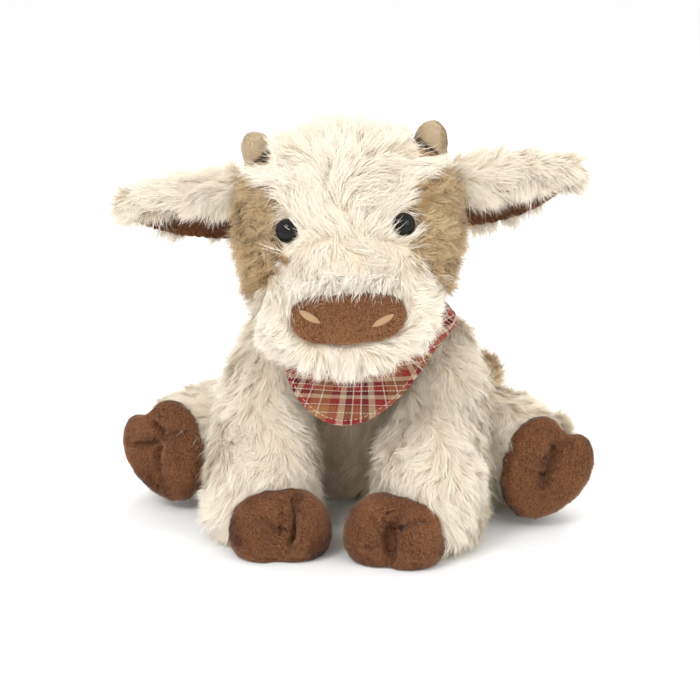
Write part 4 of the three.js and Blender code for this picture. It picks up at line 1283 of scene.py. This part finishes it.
def build_head_fur():
    face_coat = Coat(comb_head)
    roots = places, facing = roots_on(hides["head"], face_coat.density, seed=20)
    local = in_head(places)
    near = {
        node: nearness(node_tree(node), places)
        for node in ("head_skin", "nose_panel", "head_patch_left", "head_patch_right")
    }
    nose = near["nose_panel"] < np.minimum(near["head_skin"], HIDE_INSET + NOSE_MARGIN)
    kept = uncovered("head", places, facing) & ~nose
    fringe = kept & (near["nose_panel"] < FRINGE_REACH) & (local[:, 2] > NOSE_LEVEL)
    coat = Coat(comb_down, length=14.5 * MM, lift=(82, -4), spacing=3.5 * MM, clump=0.7, flow=14,
                swirl=24, density=9, width=0.17 * MM, flattening=0.15)
    grow("nose_fringe", "head", coat, some(roots, fringe), CREAM_FUR, "cream_fur",
         seed=42, whiteness_and_painted_shade=np.full(np.sum(fringe), FRINGE_WHITENESS))
    coat = Coat(comb_patch, spacing=4.6 * MM, density=2.5, wave=2.6 * MM, waves=1.6, tone=(-0.3, 0.8),
                swirl=36, clump=0.85, lift=(58, 14), strand=CURLY_STRAND)
    for side in SIDES:
        horn = f"horn_{side}"
        at_horn = (nearness(node_tree(horn), places) < HORN_TAN) & (facing[:, 1] < HORN_TAN_FACING)
        at_horn &= places[:, 2] < node_points(horn)[:, 2].min() + HORN_TAN_TOP
        tan = kept & ~fringe & (at_horn | (near[f"head_patch_{side}"] < near["head_skin"]))
        kept &= ~tan
        grow(f"patch_fur_{side}", "head", coat, some(roots, tan), TAN_FUR, "tan_fur",
             seed=30, clear=face_in_sight)
    white = np.clip((FACE_WHITE_FROM - local[:, 1]) / FACE_WHITE_REACH, 0, FACE_WHITENESS)
    edge = CROWN_FACING + np.random.default_rng(CROWN_SEED).normal(0, CROWN_BLEND, len(places))
    crown = kept & (facing[:, 2] > edge) & (local[:, 1] > CROWN_FRONT)
    crown_coat = Coat(comb_crown, length=17 * MM, lift=(56, 20), density=3.2, tone=(0, 0.35), flattening=0.2)
    low = (local[:, 0] > CHEEK_SIDE) & (local[:, 2] < NOSE_LEVEL)
    cheek = kept & ~crown & low & (facing[:, 0] > CHEEK_FACING)
    cheek_coat = Coat(comb_cheek, length=11 * MM, lift=(24, 4))
    for name, coat, which, clear in (
        ("crown_fur", crown_coat, crown, face_in_sight),
        ("cheek_fur", cheek_coat, cheek, features_in_sight),
        ("face_fur", face_coat, kept & ~crown & ~cheek, face_in_sight),
    ):
        grow(name, "head", coat, some(roots, which), CREAM_FUR, "cream_fur",
             seed=40, whiteness_and_painted_shade=white[which], clear=clear)


def above_fringe(lining, places):
    """Which places lie high enough on an ear, or near enough to its tip, for fur to cover its lining."""
    points, _, _ = arrays_of(lining.data)
    across = np.arange(points[:, 0].min(), points[:, 0].max(), EDGE_STEP)
    lowest = [points[np.abs(points[:, 0] - x) < EDGE_STEP, 2].min() for x in across]
    to_tip = np.abs(points[:, 0]).max() - np.abs(places[:, 0])
    shown = LINING_SHOWN * np.clip(to_tip / LINING_END, 0, 1)
    return places[:, 2] > np.interp(places[:, 0], across, lowest) + shown


def build_ears():
    coat = Coat(comb_ear, length=15 * MM, density=3.6, lift=(48, 10), flattening=0.25, tone=(0.05, 0.5))
    for side, sign in SIDES.items():
        body = f"ear_{side}"
        leaf = padded_piece(
            f"ear_leaf_{side}", [f"ear_fur_{side}"], LEAF_FINISH, body, CREAM_BACKING, "cream_fur")
        lining = padded_piece(
            f"ear_inside_{side}", [f"ear_lining_{side}"], LINING_FINISH, body, BROWN_PLUSH, "brown_plush")
        roots = roots_on(leaf, coat.density, seed=50 + sign)
        inside = tree_of(lining.data)
        outer = np.array([
            inside.ray_cast(Vector(place), Vector(way), LINING_REACH)[0] is None for place, way in zip(*roots)
        ])
        grow(f"ear_pile_{side}", body, coat, some(roots, outer), CREAM_FUR, "cream_fur", seed=52)
        roots = roots_on(lining, coat.density, seed=56 + sign)
        folded = above_fringe(lining, roots[0])
        grow(f"ear_fringe_{side}", body, coat, some(roots, folded), CREAM_FUR, "cream_fur", seed=53)

        def below_fringe(lines, rng):
            return ~above_fringe(lining, lines[:, 0])

        build_nap(lining, body, BROWN_NAP, "brown_plush", length=1.2 * MM, density=3.0, seed=54,
                  clear=below_fringe)


# Short-pile pieces


def build_nap(made, body, material, slot, length, density, seed, painted_shade_at_top=0.0, clear=None):
    coat = Coat(comb_down, length=length, spacing=1.8 * MM, density=density, width=0.1 * MM, lift=(60, 30),
                wave=0.15 * MM, waves=0.6, flow=40, swirl=20, clump=0.3, tone=(0.0, 0.5), strand=SHORT_STRAND)
    roots = roots_on(made, density, seed)
    height = roots[0][:, 2]
    # Paler towards the bottom by this share, which leaves the top darker: painted shade
    light = painted_shade_at_top * (height.max() - height) / np.ptp(height)
    grow(f"{made.name}_nap", body, coat, roots, material, slot, seed, light, clear)


def nostril_mesh(side, nose):
    """A leaf of satin stitch that lies on the nose and stands a little proud of it."""
    stitched = node_points(f"nostril_{side}").mean(axis=0)
    middle, out, _, _ = nose.find_nearest(Vector(stitched + [0, 0, NOSTRIL_LIFT]))
    slant = math.radians(NOSTRIL_SLANT)
    along = Vector((SIDES[side] * math.cos(slant), 0, math.sin(slant)))
    along = (along - out * along.dot(out)).normalized()
    across = out.cross(along) * SIDES[side]

    def on_nose(ahead, beside):
        start = middle + along * ahead + across * beside + out * NOSTRIL_LENGTH
        return nose.ray_cast(start, -out)[0] or start - out * NOSTRIL_LENGTH

    half, rings = NOSTRIL_LENGTH / 2, []
    for share in np.linspace(-NOSTRIL_ENDS, NOSTRIL_ENDS, NOSTRIL_RINGS):
        taper = (1 - share * share) ** NOSTRIL_TAPER
        rings.append([
            on_nose(share * half, NOSTRIL_WIDTH / 2 * taper * c) + out * NOSTRIL_RISE * taper * s
            for c, s in circle(NOSTRIL_SIDES)
        ])
    return smooth_mesh(f"nostril_stitching_{side}", *capped(on_nose(-half, 0), rings, on_nose(half, 0)))


def build_nose():
    nose = padded_piece("nose", ["nose_panel"], NOSE_FINISH, "head", BROWN_PLUSH, "brown_plush")
    surface = tree_of(nose.data)
    stitched = []
    for side in SIDES:
        mesh = nostril_mesh(side, surface)
        stitched.append(tree_of(mesh))
        place_piece(add_object(mesh.name, mesh), "head", NOSTRIL_THREAD, "thread", f"nostril_{side}")

    def beside_nostrils(lines, rng):
        return np.all([nearness(tree, lines[:, 1]) > NOSTRIL_ROOM for tree in stitched], axis=0)

    # The nose's nap is paler low down and darker at its top: painted shade under the fringe
    build_nap(nose, "head", BROWN_NAP, "brown_plush", length=1.5 * MM, density=7.0, seed=60,
              painted_shade_at_top=0.8, clear=beside_nostrils)


def sink_foot(mesh):
    """Draws a horn's foot down to the hide, which lies a little under the head's solid."""
    points, _, _ = arrays_of(mesh)
    share = (points[:, 2] - points[:, 2].min()) / np.ptp(points[:, 2])
    axis = unit(points[share > 1 - HORN_FOOT].mean(axis=0) - points[share < HORN_FOOT].mean(axis=0))
    sinking = HORN_SINKING * np.clip(1 - share / HORN_FOOT, 0, 1) ** SINKING_POWER
    set_points(mesh, points - axis * sinking[:, None])


def build_horns():
    for side, sign in SIDES.items():
        node = f"horn_{side}"
        horn = padded_piece(f"horn_cone_{side}", [node], HORN_FINISH, "head", HORN_PLUSH, "horn_plush")
        sink_foot(horn.data)
        build_nap(horn, "head", HORN_NAP, "horn_plush", length=1.1 * MM, density=8.0, seed=64 + sign)


def build_tail():
    for node, name, finish, length, seed in (
        ("tail", "tail_stem", TAIL_FINISH, 4 * MM, 80),
        ("tail_tuft", "tail_tuft_core", TUFT_FINISH, 13 * MM, 81),
    ):
        core = padded_piece(name, [node], finish, "tail", TAN_BACKING, "tan_fur")
        coat = Coat(comb_tail, length=length, spacing=3.8 * MM, density=2.2, wave=1.8 * MM, waves=1.3,
                    tone=(0.3, 0.95), swirl=40)
        grow(f"{name}_fur", "tail", coat, roots_on(core, coat.density, seed), TAN_FUR, "tan_fur", seed)


build_plain_fur()
build_head_fur()
build_ears()
build_nose()
build_horns()
for number, (body, hoof) in enumerate(hooves.items()):
    build_nap(hoof, body, BROWN_NAP, "brown_plush", length=1.5 * MM, density=5.0, seed=70 + number)
build_eyes()
build_tail()


# Stage, light and camera


def build_stage():
    r = FLOOR_REACH
    mesh = smooth_mesh("floor", [(-r, -r, 0), (r, -r, 0), (r, r, 0), (-r, r, 0)], [(0, 1, 2, 3)])
    m = Nodes("floor")
    m.set(Base_Color=(0.93, 0.93, 0.93), Roughness=0.9)
    mesh.materials.append(m.material)
    add_object("floor", mesh)


def set_looking(made, place, back):
    """Sets a lamp or a camera at a place, looking away from this direction."""
    made.location = place
    made.rotation_mode = "QUATERNION"
    made.rotation_quaternion = back.to_track_quat("Z", "Y")


def build_lamp(name, place, size, power):
    data = bpy.data.lights.new(name, "AREA")
    data.shape = "DISK"
    data.size = size
    data.energy = power
    set_looking(add_object(name, data), place, Vector(place) - LAMP_AIM)


def build_camera():
    a, e = math.radians(CAMERA_AZIMUTH), math.radians(CAMERA_ELEVATION)
    back = Vector((math.sin(a) * math.cos(e), -math.cos(a) * math.cos(e), math.sin(e)))
    data = bpy.data.cameras.new("camera")
    data.lens = CAMERA_LENS
    data.sensor_width = SENSOR_WIDTH
    camera = add_object("camera", data)
    set_looking(camera, Vector(CAMERA_TARGET) + back * CAMERA_DISTANCE, back)
    bpy.context.scene.camera = camera


def build_world():
    world = bpy.data.worlds.new("studio")
    world.use_nodes = True
    background = world.node_tree.nodes["Background"].inputs
    background["Color"].default_value = (1, 1, 1, 1)
    background["Strength"].default_value = WORLD_STRENGTH
    bpy.context.scene.world = world
    bpy.context.scene.view_settings.view_transform = "Standard"


build_stage()
build_world()
build_camera()
for lamp in LAMPS:
    build_lamp(*lamp)
